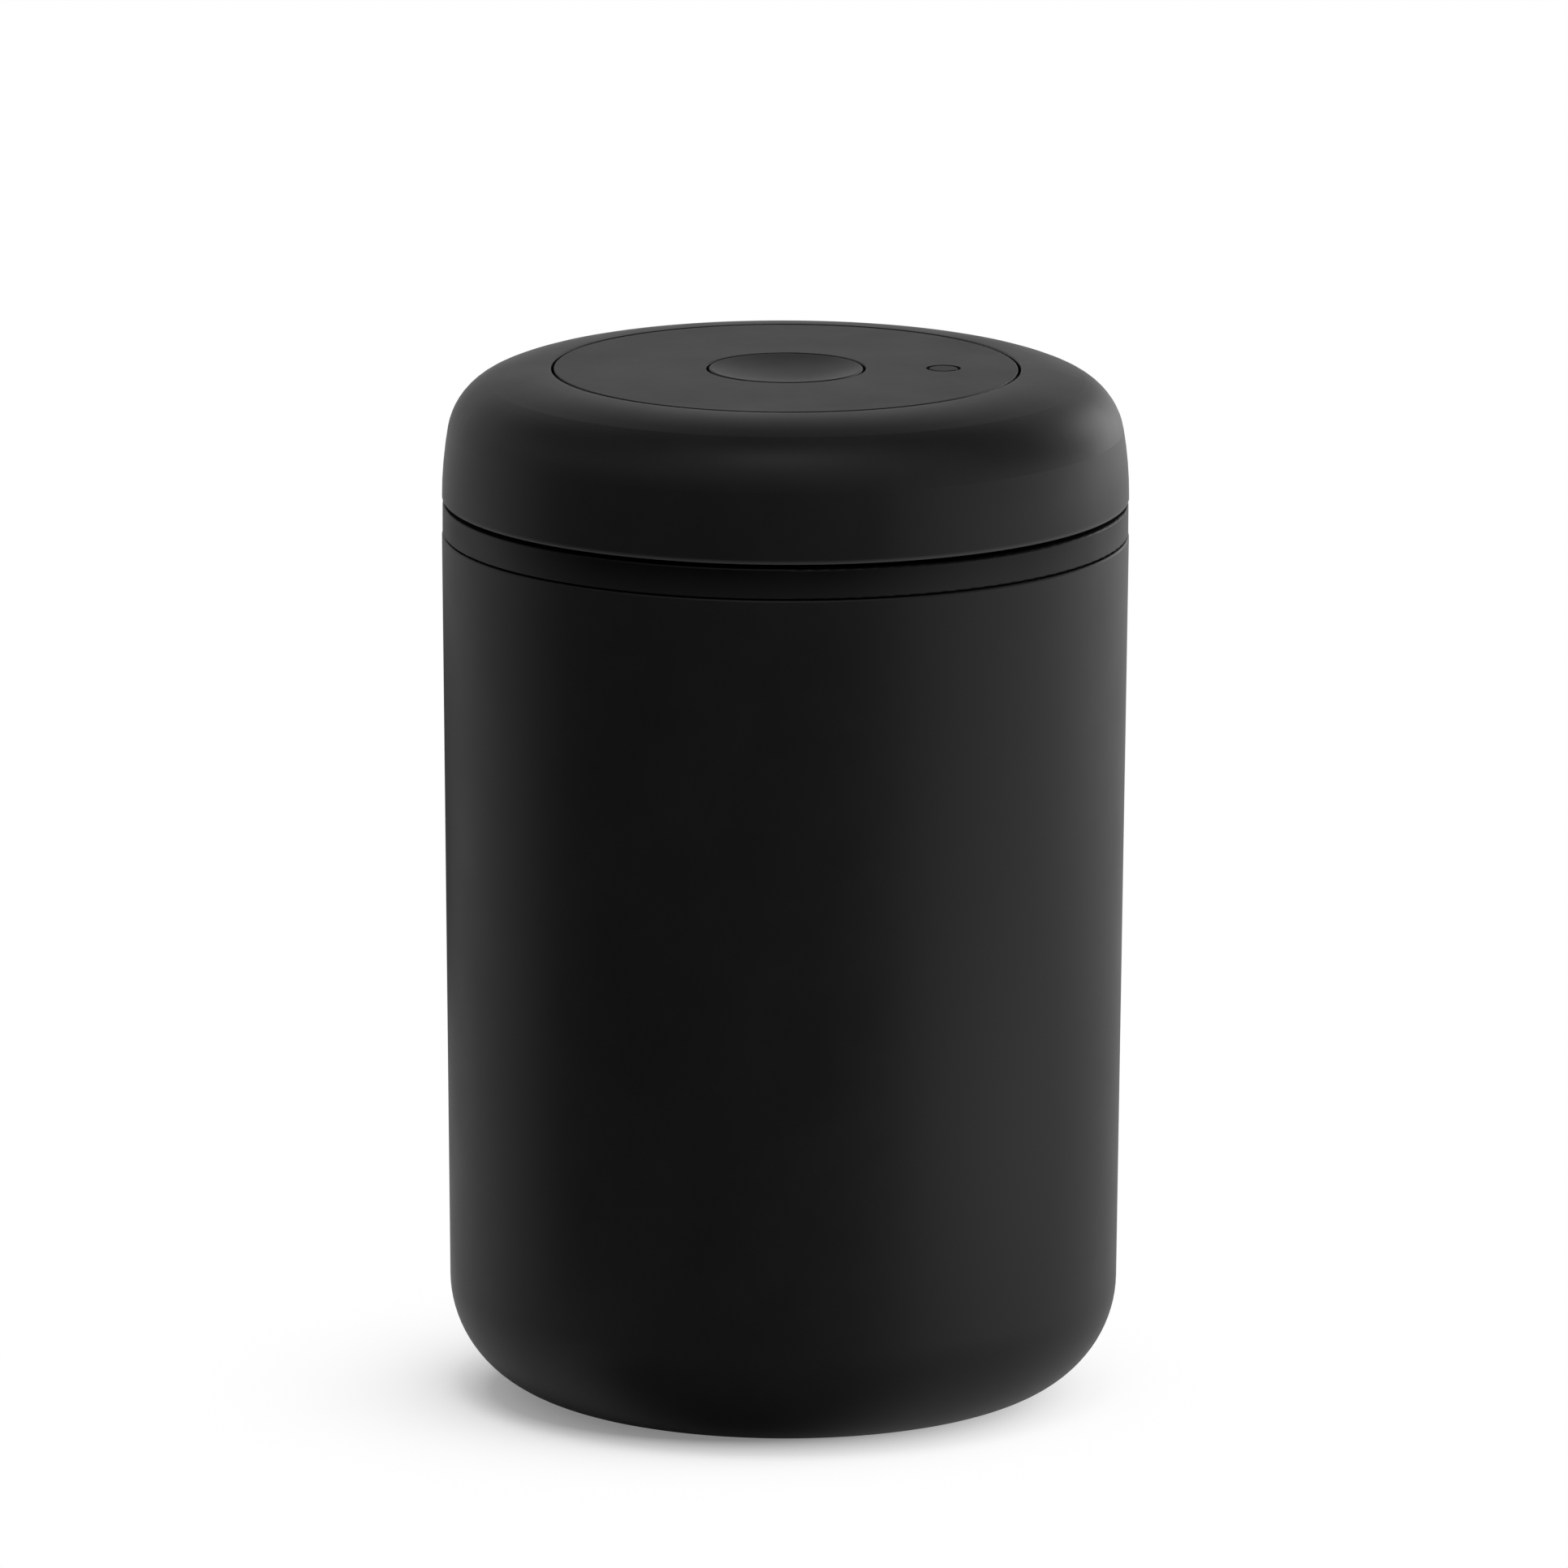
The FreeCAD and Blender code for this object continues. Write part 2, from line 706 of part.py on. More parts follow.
def build_pump_cylinder():
    """Plain cylinder between the pan's floor and the frame, slotted from the top for the piston's arms."""
    body = new_body("pump_cylinder")
    revolve(body, "tube", [
        (s.bore_radius, floor_top),
        (cylinder_outer, floor_top),
        (cylinder_outer, frame_bottom),
        (s.bore_radius, frame_bottom),
    ])
    half = s.arm_width / 2 + s.piston_gap
    inside = s.bore_radius - s.cylinder_wall
    outside = cylinder_outer + s.cylinder_wall
    plan = sketch_on(body, "guide_plan", "XY_Plane", guide_bottom)
    draw_outline(plan, [(-half, inside), (half, inside), (half, outside), (-half, outside)])
    guide = extrude(body, "Pocket", "guide", plan, frame_bottom - guide_bottom)
    repeat_round(body, "guides", guide, ARM_COUNT)
    section = s.foot_ring_section
    ring("cylinder_seal", s.bore_radius + s.cylinder_wall / 2, section, floor_top - section - s.gasket_fit)


def build_umbrella_valve(label, bottom, top):
    """Silicone umbrella valve: a thin cap on the seat, a stem through it and a bulb below it."""
    body = new_body(label)
    bulb_low = bottom - s.valve_bulb_length
    revolve(body, "umbrella", [
        (0, bulb_low),
        (s.valve_stem_radius, bulb_low),
        (s.valve_bulb_radius, bottom - s.valve_bulb_length / 2),
        (s.valve_bulb_radius, bottom),
        (s.valve_stem_radius, bottom),
        (s.valve_stem_radius, top),
        (s.valve_cap_radius, top),
        (s.valve_cap_radius, top + s.valve_lip),
        (s.valve_stem_radius, top + s.valve_cap_thickness),
        (0, top + s.valve_cap_thickness),
    ])
    bind(body, "Placement.Base.x", -valve_circle)


def build_glide_ring():
    """Slippery bearing ring on the pan's step, under the drum."""
    body = new_body("glide_ring")
    revolve(body, "washer", [
        (drum_inner - s.glide_side_gap, step_top),
        (rib_inner - s.glide_side_gap, step_top),
        (rib_inner - s.glide_side_gap, glide_top),
        (drum_inner - s.glide_side_gap, glide_top),
    ])


def build_bridge_frame():
    """Round plate on the pillars: it holds the cylinder down, traps the drum and guides button and pin."""
    body = new_body("bridge_frame")
    revolve(body, "plate", [
        (button_hole, frame_bottom),
        (frame_radius, frame_bottom),
        (frame_radius, plate_bottom),
        (button_hole, plate_bottom),
    ])
    columns(body, "Pad", "clamp_tube", [(column_circle, 0, s.chimney_radius)], membrane_top, frame_bottom)
    chamber = s.indicator_radius + s.indicator_collar + s.indicator_gap
    columns(body, "Pocket", "pin_chamber", [(column_circle, 0, chamber)], membrane_top, frame_bottom)
    columns(body, "Pocket", "pin_guide", [(column_circle, 0, indicator_hole)], frame_bottom, plate_bottom)
    x, y = at_angle(column_circle, PILLAR_ANGLE)
    clearance = s.screw_radius + s.screw_hole_gap
    head_room = s.screw_head_radius + s.screw_head_gap
    hole = columns(body, "Pocket", "screw_hole", [(x, y, clearance)], frame_bottom, plate_bottom)
    repeat_round(body, "screw_holes", hole, ARM_COUNT)
    sink = columns(body, "Pocket", "head_sink", [(x, y, head_room)], head_seat, plate_bottom)
    repeat_round(body, "head_sinks", sink, ARM_COUNT)


def build_screws(label, circle, seat, grip, up, count, start_angle):
    """Pan-head screws on a circle: heads on the seat level, shanks of length grip running up or down."""
    sign = 1 if up else -1
    head_end = seat - s.screw_head_height * sign
    socket_end = head_end + s.screw_socket_depth * sign
    tip = seat + grip * sign
    body = new_body(label)
    screw = revolve(body, "screw", [
        (0, socket_end),
        (s.screw_socket_radius, socket_end),
        (s.screw_socket_radius, head_end),
        (s.screw_head_radius, head_end),
        (s.screw_head_radius, seat),
        (s.screw_radius, seat),
        (s.screw_radius, tip),
        (0, tip),
    ], circle)
    repeat_round(body, "screw_set", screw, count)
    turn = FreeCAD.Rotation(FreeCAD.Vector(0, 0, 1), start_angle)
    body.Placement = FreeCAD.Placement(FreeCAD.Vector(), turn)


def build_top_plate():
    """Flush disc on the frame, with holes for the button and the indicator pin."""
    rounding = s.edge_round
    body = new_body("top_plate")
    revolve(body, "disc", [
        (button_hole, plate_bottom),
        (plate_radius, plate_bottom),
        (plate_radius, top_level - rounding),
        Arc(rounding, True),
        (plate_radius - rounding, top_level),
        (button_hole + rounding, top_level),
        Arc(rounding, True),
        (button_hole, top_level - rounding),
    ])
    columns(body, "Pocket", "pin_hole", [(column_circle, 0, indicator_hole)], plate_bottom, top_level)


def build_twist_dome():
    """Hollow ring of the lid that the hand turns, with a lip round the plate and bosses for the drum."""
    wall = s.dome_wall
    side_top = side_foot + dome_side * sine(s.corner_angle)
    side_top_radius = s.lid_radius - side_run
    corner_top = side_top + corner_rise * round_share
    corner_top_radius = side_top_radius - corner_run * round_share
    corner_in = (wall * cosine(s.corner_angle), wall * sine(s.corner_angle))
    shoulder_in = (wall * cosine(s.shoulder_angle), wall * sine(s.shoulder_angle))
    body = new_body("twist_dome")
    revolve(body, "shell", [
        (s.lid_radius - wall, dome_bottom),
        (s.lid_radius - s.dome_edge, dome_bottom),
        Arc(s.dome_edge, True),
        (s.lid_radius, side_foot),
        Arc(dome_side, True),
        (side_top_radius, side_top),
        Arc(dome_corner, True),
        (corner_top_radius, corner_top),
        Arc(dome_shoulder, True),
        (flat_radius, top_level),
        (open_radius + s.edge_round, top_level),
        Arc(s.edge_round, True),
        (open_radius, top_level - s.edge_round),
        (open_radius, flange_top),
        (flat_radius, flange_top),
        (flat_radius, top_level - wall),
        Arc(dome_shoulder - wall, False),
        (corner_top_radius - shoulder_in[0], corner_top - shoulder_in[1]),
        Arc(dome_corner - wall, False),
        (side_top_radius - corner_in[0], side_top - corner_in[1]),
        Arc(dome_side - wall, False),
        (s.lid_radius - wall, side_foot),
    ])
    boss_top = top_level - wall + s.boss_bury
    boss = columns(body, "Pad", "boss", [(boss_circle, 0, s.boss_radius)], flange_top, boss_top)
    repeat_round(body, "bosses", boss, BOSS_COUNT)
    pilot = s.screw_radius + s.screw_fit
    pilot_top = flange_top + s.drum_screw_grip + s.pilot_room
    hole = columns(body, "Pocket", "pilot", [(boss_circle, 0, pilot)], flange_top, pilot_top)
    repeat_round(body, "pilots", hole, BOSS_COUNT)


def build_cam_drum():
    """Drum under the dome: a flange for the screws and three helical slots that climb by the stroke."""
    body = new_body("cam_drum")
    revolve(body, "drum", [
        (drum_inner, drum_bottom),
        (drum_outer, drum_bottom),
        (drum_outer, flange_bottom),
        (flange_radius, flange_bottom),
        (flange_radius, flange_top),
        (drum_inner, flange_top),
    ])
    start_angle = as_size(ARM_ANGLE) + slot_lead_in
    screw_angle = -start_angle
    x, y = at_angle(boss_circle, screw_angle)
    clearance = s.screw_radius + s.screw_hole_gap
    hole = columns(body, "Pocket", "screw_hole", [(x, y, clearance)], flange_bottom, flange_top)
    repeat_round(body, "screw_holes", hole, BOSS_COUNT)
    slot_start = pin_level - lead * slot_lead_in
    section = sketch_on(body, "slot_section", "XZ_Plane")
    draw_outline(section, [
        (drum_inner - s.drum_wall, slot_start - slot_half),
        (drum_outer + s.drum_wall, slot_start - slot_half),
        (drum_outer + s.drum_wall, slot_start + slot_half),
        (drum_inner - s.drum_wall, slot_start + slot_half),
    ])
    slot = body.newObject("PartDesign::SubtractiveHelix", "slot")
    slot.Profile = section
    slot.ReferenceAxis = (section, ["V_Axis"])
    slot.Mode = "pitch-height-angle"
    slot.LeftHanded = True
    bind(slot, "Pitch", lead * FULL_TURN)
    bind(slot, "Height", s.stroke + lead * slot_lead_in * 2)
    repeat_round(body, "slots", slot, ARM_COUNT)
    turn = FreeCAD.Rotation(FreeCAD.Vector(0, 0, 1), ARM_ANGLE)
    body.Placement = FreeCAD.Placement(FreeCAD.Vector(), turn)
    bind(body, "Placement.Rotation.Angle", start_angle)


def build_piston():
    """Annular piston with two ring grooves, a cup wall and three arms through the cylinder's guides."""
    groove = s.ring_section + s.ring_gap
    groove_depth = s.ring_section * 2 + s.ring_gap * 2 - s.piston_gap
    groove_level = piston_top - s.ring_inset
    body = new_body("piston")
    revolve(body, "cup", [
        (piston_inner, piston_bottom),
        (piston_outer, piston_bottom),
        (piston_outer, groove_level - groove),
        (piston_outer - groove_depth, groove_level - groove),
        (piston_outer - groove_depth, groove_level + groove),
        (piston_outer, groove_level + groove),
        (piston_outer, arm_top),
        (cup_inner, arm_top),
        (cup_inner, piston_top),
        (piston_inner, piston_top),
        (piston_inner, groove_level + groove),
        (piston_inner + groove_depth, groove_level + groove),
        (piston_inner + groove_depth, groove_level - groove),
        (piston_inner, groove_level - groove),
    ])
    half = s.arm_width / 2
    root = piston_outer - s.cup_wall / 2
    plan = sketch_on(body, "arm_plan", "XY_Plane", arm_bottom)
    draw_outline(plan, [(-half, root), (half, root), (half, arm_reach), (-half, arm_reach)])
    arm = extrude(body, "Pad", "arm", plan, s.arm_thickness)
    repeat_round(body, "arms", arm, ARM_COUNT)
    bore = sketch_on(body, "pin_bore_plan", "XZ_Plane", s.pin_depth - arm_reach)
    draw_circles(bore, [(0, pin_level, s.pin_radius + s.pin_fit)])
    pin_bore = extrude(body, "Pocket", "pin_bore", bore, s.pin_depth)
    pin_bore.Reversed = False
    repeat_round(body, "pin_bores", pin_bore, ARM_COUNT)
    web_bottom = piston_bottom + s.valve_recess_depth
    recess = s.valve_cap_radius + s.valve_recess_gap
    columns(body, "Pocket", "valve_recess", [(-valve_circle, 0, recess)], piston_bottom, web_bottom)
    drill_valve_seat(body, web_bottom, piston_top)
    seal_reach = s.ring_section + s.ring_gap
    ring("piston_outer_seal", s.bore_radius - seal_reach, s.ring_section, groove_level)
    ring("piston_inner_seal", tube_outer + seal_reach, s.ring_section, groove_level)


def build_cam_pins():
    """Three steel pins, one in each arm, that reach through the drum's slots."""
    inner_end = arm_reach - s.pin_depth + s.pin_fit
    outer_end = drum_outer - s.pin_gap
    body = new_body("cam_pins")
    plan = sketch_on(body, "pin_plan", "XZ_Plane", -inner_end)
    draw_circles(plan, [(0, pin_level, s.pin_radius)])
    pin = extrude(body, "Pad", "pin", plan, outer_end - inner_end)
    pin.Reversed = True
    repeat_round(body, "pins", pin, ARM_COUNT)


def build_release_button():
    """Dished button with a catch under the frame and a boss for the stem."""
    rounding = s.edge_round
    dish_radius = s.button_radius - s.button_rim
    dish_sphere = (dish_radius * dish_radius / s.dish_depth + s.dish_depth) / 2
    ceiling = top_level - s.dish_depth - s.button_skin
    catch_top = frame_bottom - s.stop_gap
    catch_bottom = catch_top - s.button_catch_height
    boss_bottom = guide_bottom + s.boss_above_tube
    socket = s.stem_radius + s.stem_fit
    body = new_body("release_button")
    revolve(body, "cap", [
        (0, top_level - s.dish_depth),
        (0, boss_bottom + s.stem_socket),
        (socket, boss_bottom + s.stem_socket),
        (socket, boss_bottom),
        (s.button_boss_radius, boss_bottom),
        (s.button_boss_radius, ceiling),
        (s.button_radius - s.button_wall, ceiling),
        (s.button_radius - s.button_wall, catch_bottom),
        (button_hole + s.button_catch, catch_bottom),
        (button_hole + s.button_catch, catch_top),
        (s.button_radius, catch_top),
        (s.button_radius, top_level - rounding),
        Arc(rounding, True),
        (s.button_radius - rounding, top_level),
        (dish_radius, top_level),
        Arc(dish_sphere, False),
    ])


def build_release_stem():
    """Steel stem from the button's boss down to its foot under the poppet."""
    top = guide_bottom + s.boss_above_tube + s.stem_socket - s.stem_fit
    body = new_body("release_stem")
    revolve(body, "rod", [
        (0, stem_bottom),
        (s.stem_foot_radius, stem_bottom),
        (s.stem_foot_radius, poppet_bottom),
        (s.stem_radius, poppet_bottom),
        (s.stem_radius, top),
        (0, top),
    ])


def build_release_seal():
    """Silicone poppet on the stem, which closes the vent from below."""
    inner = s.stem_radius + s.stem_fit
    body = new_body("release_seal")
    revolve(body, "poppet", [
        (inner, poppet_bottom),
        (s.poppet_radius, poppet_bottom),
        (s.poppet_radius, poppet_top - s.poppet_round),
        Arc(s.poppet_round, True),
        (s.poppet_radius - s.poppet_round, poppet_top),
        (inner, poppet_top),
    ])


def build_indicator_pin():
    """Flush pin with a stop collar under the frame and a foot on the membrane."""
    rounding = s.edge_round
    collar = s.indicator_radius + s.indicator_collar
    foot_low = membrane_top + s.stop_gap / 2
    body = new_body("indicator_pin")
    revolve(body, "pin", [
        (0, foot_low),
        (s.indicator_foot_radius, foot_low),
        (s.indicator_foot_radius, pin_collar_bottom),
        (collar, pin_collar_bottom),
        (collar, pin_collar_top),
        (s.indicator_radius, pin_collar_top),
        (s.indicator_radius, top_level - rounding),
        Arc(rounding, True),
        (s.indicator_radius - rounding, top_level),
        (0, top_level),
    ])
    bind(body, "Placement.Base.x", column_circle)


def build_indicator_diaphragm():
    """Thin membrane across the chimney: clamped rim, folding web and a stiff middle."""
    rim_inner = s.chimney_radius - s.chimney_wall
    middle = rim_inner - s.membrane_fold
    body = new_body("indicator_diaphragm")
    revolve(body, "membrane", [
        (0, chimney_top),
        (middle, chimney_top),
        (middle, chimney_top + s.membrane_web),
        (rim_inner, chimney_top + s.membrane_web),
        (rim_inner, chimney_top),
        (s.chimney_radius - s.membrane_fit, chimney_top),
        (s.chimney_radius - s.membrane_fit, membrane_top),
        (rim_inner, membrane_top),
        (rim_inner, membrane_top - s.membrane_web),
        (middle, membrane_top - s.membrane_web),
        (middle, membrane_top),
        (0, membrane_top),
    ])
    bind(body, "Placement.Base.x", column_circle)


def build_filter_cap():
    """Slotted cap that clips over the ring under the plug's floor."""
    top = floor_bottom - s.cap_top_gap
    body = new_body("filter_cap")
    revolve(body, "cup", [
        (0, cap_bottom),
        (cap_outer - s.cap_round, cap_bottom),
        Arc(s.cap_round, True),
        (cap_outer, cap_bottom + s.cap_round),
        (cap_outer, top),
        (cap_inner, top),
        (cap_inner, mesh_bottom),
        (0, mesh_bottom),
    ])
    half = s.cap_slot_width / 2
    outer = cap_inner - s.cap_slot_margin
    plan = sketch_on(body, "slot_plan", "XY_Plane", cap_bottom)
    draw_outline(plan, [
        (s.cap_slot_inner, -half),
        (outer, -half),
        Arc(half, True),
        (outer + half, 0),
        Arc(half, True),
        (outer, half),
        (s.cap_slot_inner, half),
    ])
    slot = extrude(body, "Pocket", "slot", plan, s.cap_floor)
    repeat_round(body, "slots", slot, CAP_SLOT_COUNT)


def build_filter_mesh():
    """Fine mesh disc that lies on the cap's floor."""
    radius = cap_inner - s.mesh_fit
    body = new_body("filter_mesh")
    revolve(body, "disc", [(0, mesh_bottom), (radius, mesh_bottom), (radius, mesh_top), (0, mesh_top)])


def check_and_write():
    """Stop on any failed feature or cut that removes nothing, then write one file per piece."""
    for item in doc.Objects:
        if "Invalid" in item.State or "Error" in item.State:
            raise RuntimeError(f"{item.Label} failed: {item.State}")
        if item.TypeId in ("PartDesign::Pocket", "PartDesign::SubtractiveHelix"):
            if item.Shape.Volume >= item.BaseFeature.Shape.Volume:
                raise RuntimeError(f"{item.Label} cuts nothing")
    for piece in pieces:
        if piece.Shape.isNull() or not piece.Shape.isValid():
            raise RuntimeError(f"{piece.Label} has no valid shape")
    os.makedirs("parts", exist_ok=True)
    for piece in pieces:
        piece.Shape.exportStep(f"parts/{piece.Label}.step")
        print(f"{piece.Label}: {len(piece.Shape.Solids)} solid(s), {piece.Shape.Volume:.1f} mm3")


build_canister_body()
build_base_pad()
build_lid_base()
build_lid_gasket()
build_pump_cylinder()
build_umbrella_valve("inlet_valve", floor_bottom, floor_top)
build_glide_ring()
build_bridge_frame()
build_screws("frame_screws", column_circle, head_seat, s.frame_screw_length, False, ARM_COUNT, PILLAR_ANGLE)
build_top_plate()
build_twist_dome()
build_cam_drum()
build_screws("drum_screws", boss_circle, flange_bottom, s.flange_thickness + s.drum_screw_grip,
             True, BOSS_COUNT, 0.0)
build_piston()
build_umbrella_valve("outlet_valve", piston_bottom + s.valve_recess_depth, piston_top)
build_cam_pins()
build_release_button()
build_release_stem()
build_release_seal()
coil_spring("button_spring", 0.0, tube_seat, guide_bottom + s.boss_above_tube,
            s.button_spring_radius, s.button_wire_radius, BUTTON_SPRING_TURNS)
build_indicator_pin()
build_indicator_diaphragm()
coil_spring("indicator_spring", column_circle, chimney_seat, chimney_top,
            s.indicator_spring_radius, s.indicator_wire_radius, INDICATOR_SPRING_TURNS)
build_filter_cap()
build_filter_mesh()
doc.recompute()
check_and_write()
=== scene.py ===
"""Coffee canister with a twist-to-pump vacuum lid: its finishes, fine meshes, studio and camera.

Names that end in _mm hold millimetres and names that end in _deg hold degrees. The frame itself is in metres.
"""

from __future__ import annotations

import json
import logging
import math
from collections.abc import Sequence
from dataclasses import dataclass
from enum import Enum
from typing import Any, ClassVar

import bpy
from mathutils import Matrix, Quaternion, Vector


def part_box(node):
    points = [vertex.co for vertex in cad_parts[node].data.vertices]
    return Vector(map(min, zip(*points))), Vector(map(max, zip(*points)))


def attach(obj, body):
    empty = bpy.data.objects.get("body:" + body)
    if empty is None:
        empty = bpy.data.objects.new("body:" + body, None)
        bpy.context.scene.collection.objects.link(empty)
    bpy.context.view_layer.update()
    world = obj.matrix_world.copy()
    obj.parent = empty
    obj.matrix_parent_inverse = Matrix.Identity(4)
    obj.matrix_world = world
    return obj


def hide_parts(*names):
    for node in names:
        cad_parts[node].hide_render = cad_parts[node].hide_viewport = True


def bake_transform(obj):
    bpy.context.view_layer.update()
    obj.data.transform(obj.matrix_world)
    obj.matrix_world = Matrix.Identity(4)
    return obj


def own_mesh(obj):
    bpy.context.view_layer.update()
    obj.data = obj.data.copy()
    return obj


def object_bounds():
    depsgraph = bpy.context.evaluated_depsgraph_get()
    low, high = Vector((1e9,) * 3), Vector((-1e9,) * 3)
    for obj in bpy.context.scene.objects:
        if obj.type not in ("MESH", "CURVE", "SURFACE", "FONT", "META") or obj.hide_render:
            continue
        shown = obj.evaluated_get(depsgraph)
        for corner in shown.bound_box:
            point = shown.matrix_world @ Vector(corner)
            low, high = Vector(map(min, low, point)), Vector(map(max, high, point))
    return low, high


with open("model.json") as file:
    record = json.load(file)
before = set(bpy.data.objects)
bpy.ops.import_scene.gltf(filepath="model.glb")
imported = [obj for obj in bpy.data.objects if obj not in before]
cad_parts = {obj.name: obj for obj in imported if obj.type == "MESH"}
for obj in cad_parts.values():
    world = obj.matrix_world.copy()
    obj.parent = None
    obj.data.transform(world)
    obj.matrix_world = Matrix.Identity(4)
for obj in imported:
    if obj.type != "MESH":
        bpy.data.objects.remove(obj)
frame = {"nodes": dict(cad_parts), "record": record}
cad_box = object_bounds()

log = logging.getLogger("canister")
logging.basicConfig(level=logging.INFO, format="%(name)s: %(message)s")

MM = 0.001
UP = Vector((0.0, 0.0, 1.0))

Point = tuple[float, float]
Colour = tuple[float, float, float, float]


class Body(Enum):
    """The bodies that move against each other."""

    CANISTER = "canister"
    LID = "lid"
    DOME = "dome"
    PISTON = "piston"
    BUTTON = "button"
    INDICATOR = "indicator"
    FILTER = "filter"


class Slot(Enum):
    """The material slots of the record."""

    COATED_STEEL = "coated_steel"
    DOME_MOULDING = "dome_moulding"
    PLATE_MOULDING = "plate_moulding"
    BUTTON_MOULDING = "button_moulding"
    INDICATOR_MOULDING = "indicator_moulding"
    COLLAR_MOULDING = "collar_moulding"
    INNER_MOULDING = "inner_moulding"
    WHITE_ACETAL = "white_acetal"
    GREY_SILICONE = "grey_silicone"
    DARK_SILICONE = "dark_silicone"
    CLEAR_SILICONE = "clear_silicone"
    SPRING_STEEL = "spring_steel"
    SCREW_STEEL = "screw_steel"
    MESH_STEEL = "mesh_steel"


class Sight(Enum):
    """The kinds of ray that look at a surface, by their names on the light path node."""

    CAMERA = "Is Camera Ray"
    THROUGH = "Is Transmission Ray"
    MIRRORED = "Is Glossy Ray"


def linear(hex_colour: str) -> Colour:
    """Turn an sRGB hex colour into linear light.

    Args:
        hex_colour: six hex digits after a hash sign.

    Returns:
        Red, green, blue and a full alpha.
    """
    shares = [int(hex_colour[start:start + 2], 16) / 255 for start in (1, 3, 5)]
    red, green, blue = (
        share / 12.92 if share <= 0.04045 else ((share + 0.055) / 1.055) ** 2.4 for share in shares
    )
    return red, green, blue, 1.0


def add_node(
    tree: bpy.types.NodeTree,
    kind: str,
    settings: dict[str | int, Any] | None = None,
    links: dict[str | int, bpy.types.NodeSocket] | None = None,
) -> bpy.types.Node:
    """Add a node to a tree.

    Args:
        tree: the node tree.
        kind: the node's type.
        settings: properties of the node, or else values of its inputs, by name or number.
        links: what feeds each input, by name or number.

    Returns:
        The new node.
    """
    node = tree.nodes.new(kind)
    for name, value in (settings or {}).items():
        if isinstance(name, str) and hasattr(node, name):
            setattr(node, name, value)
        else:
            node.inputs[name].default_value = value
    for name, source in (links or {}).items():
        tree.links.new(source, node.inputs[name])
    return node


def per_metre(size_mm: float) -> float:
    """The texture scale that gives a pattern of this size."""
    return 1.0 / (size_mm * MM)


def distance_share(
    tree: bpy.types.NodeTree, place: bpy.types.NodeSocket, middle: Sequence[float], reach: Sequence[float],
) -> bpy.types.NodeSocket:
    """How far a place lies from a middle, as a share of a reach along each axis.

    Args:
        tree: the node tree.
        place: the place.
        middle: the point where the share is 0.
        reach: the distance at which it is 1, along each axis.

    Returns:
        The share's socket.
    """
    offset = add_node(tree, "ShaderNodeVectorMath", {"operation": "SUBTRACT", 1: middle}, {0: place})
    share = add_node(
        tree, "ShaderNodeVectorMath", {"operation": "DIVIDE", 1: reach}, {0: offset.outputs["Vector"]},
    )
    away = add_node(tree, "ShaderNodeVectorMath", {"operation": "LENGTH"}, {0: share.outputs["Vector"]})
    return away.outputs["Value"]


def looked_at(tree: bpy.types.NodeTree, *sights: Sight) -> bpy.types.NodeSocket:
    """A factor that is 1 for rays of some kinds and 0 for the rest.

    Args:
        tree: the node tree.
        sights: the kinds of ray that count.

    Returns:
        The factor's socket.
    """
    path = add_node(tree, "ShaderNodeLightPath")
    factor = path.outputs[sights[0].value]
    for sight in sights[1:]:
        both = add_node(
            tree, "ShaderNodeMath", {"operation": "MAXIMUM"}, {0: factor, 1: path.outputs[sight.value]},
        )
        factor = both.outputs["Value"]
    return factor


@dataclass(frozen=True)
class Finish:
    """A real surface. Each kind of finish lays its own nodes round one shader."""

    name: str

    def material(self) -> bpy.types.Material:
        """Make the material, on first use.

        Returns:
            The material.
        """
        known = bpy.data.materials.get(self.name)
        if known:
            return known
        material = bpy.data.materials.new(self.name)
        material.use_nodes = True
        tree = material.node_tree
        tree.nodes.clear()
        shader = self.lay(tree)
        add_node(tree, "ShaderNodeOutputMaterial", links={"Surface": shader.outputs[0]})
        return material

    def lay(self, tree: bpy.types.NodeTree) -> bpy.types.Node:
        """Lay the nodes of the finish.

        Args:
            tree: an empty node tree.

        Returns:
            The shader node.
        """
        raise NotImplementedError


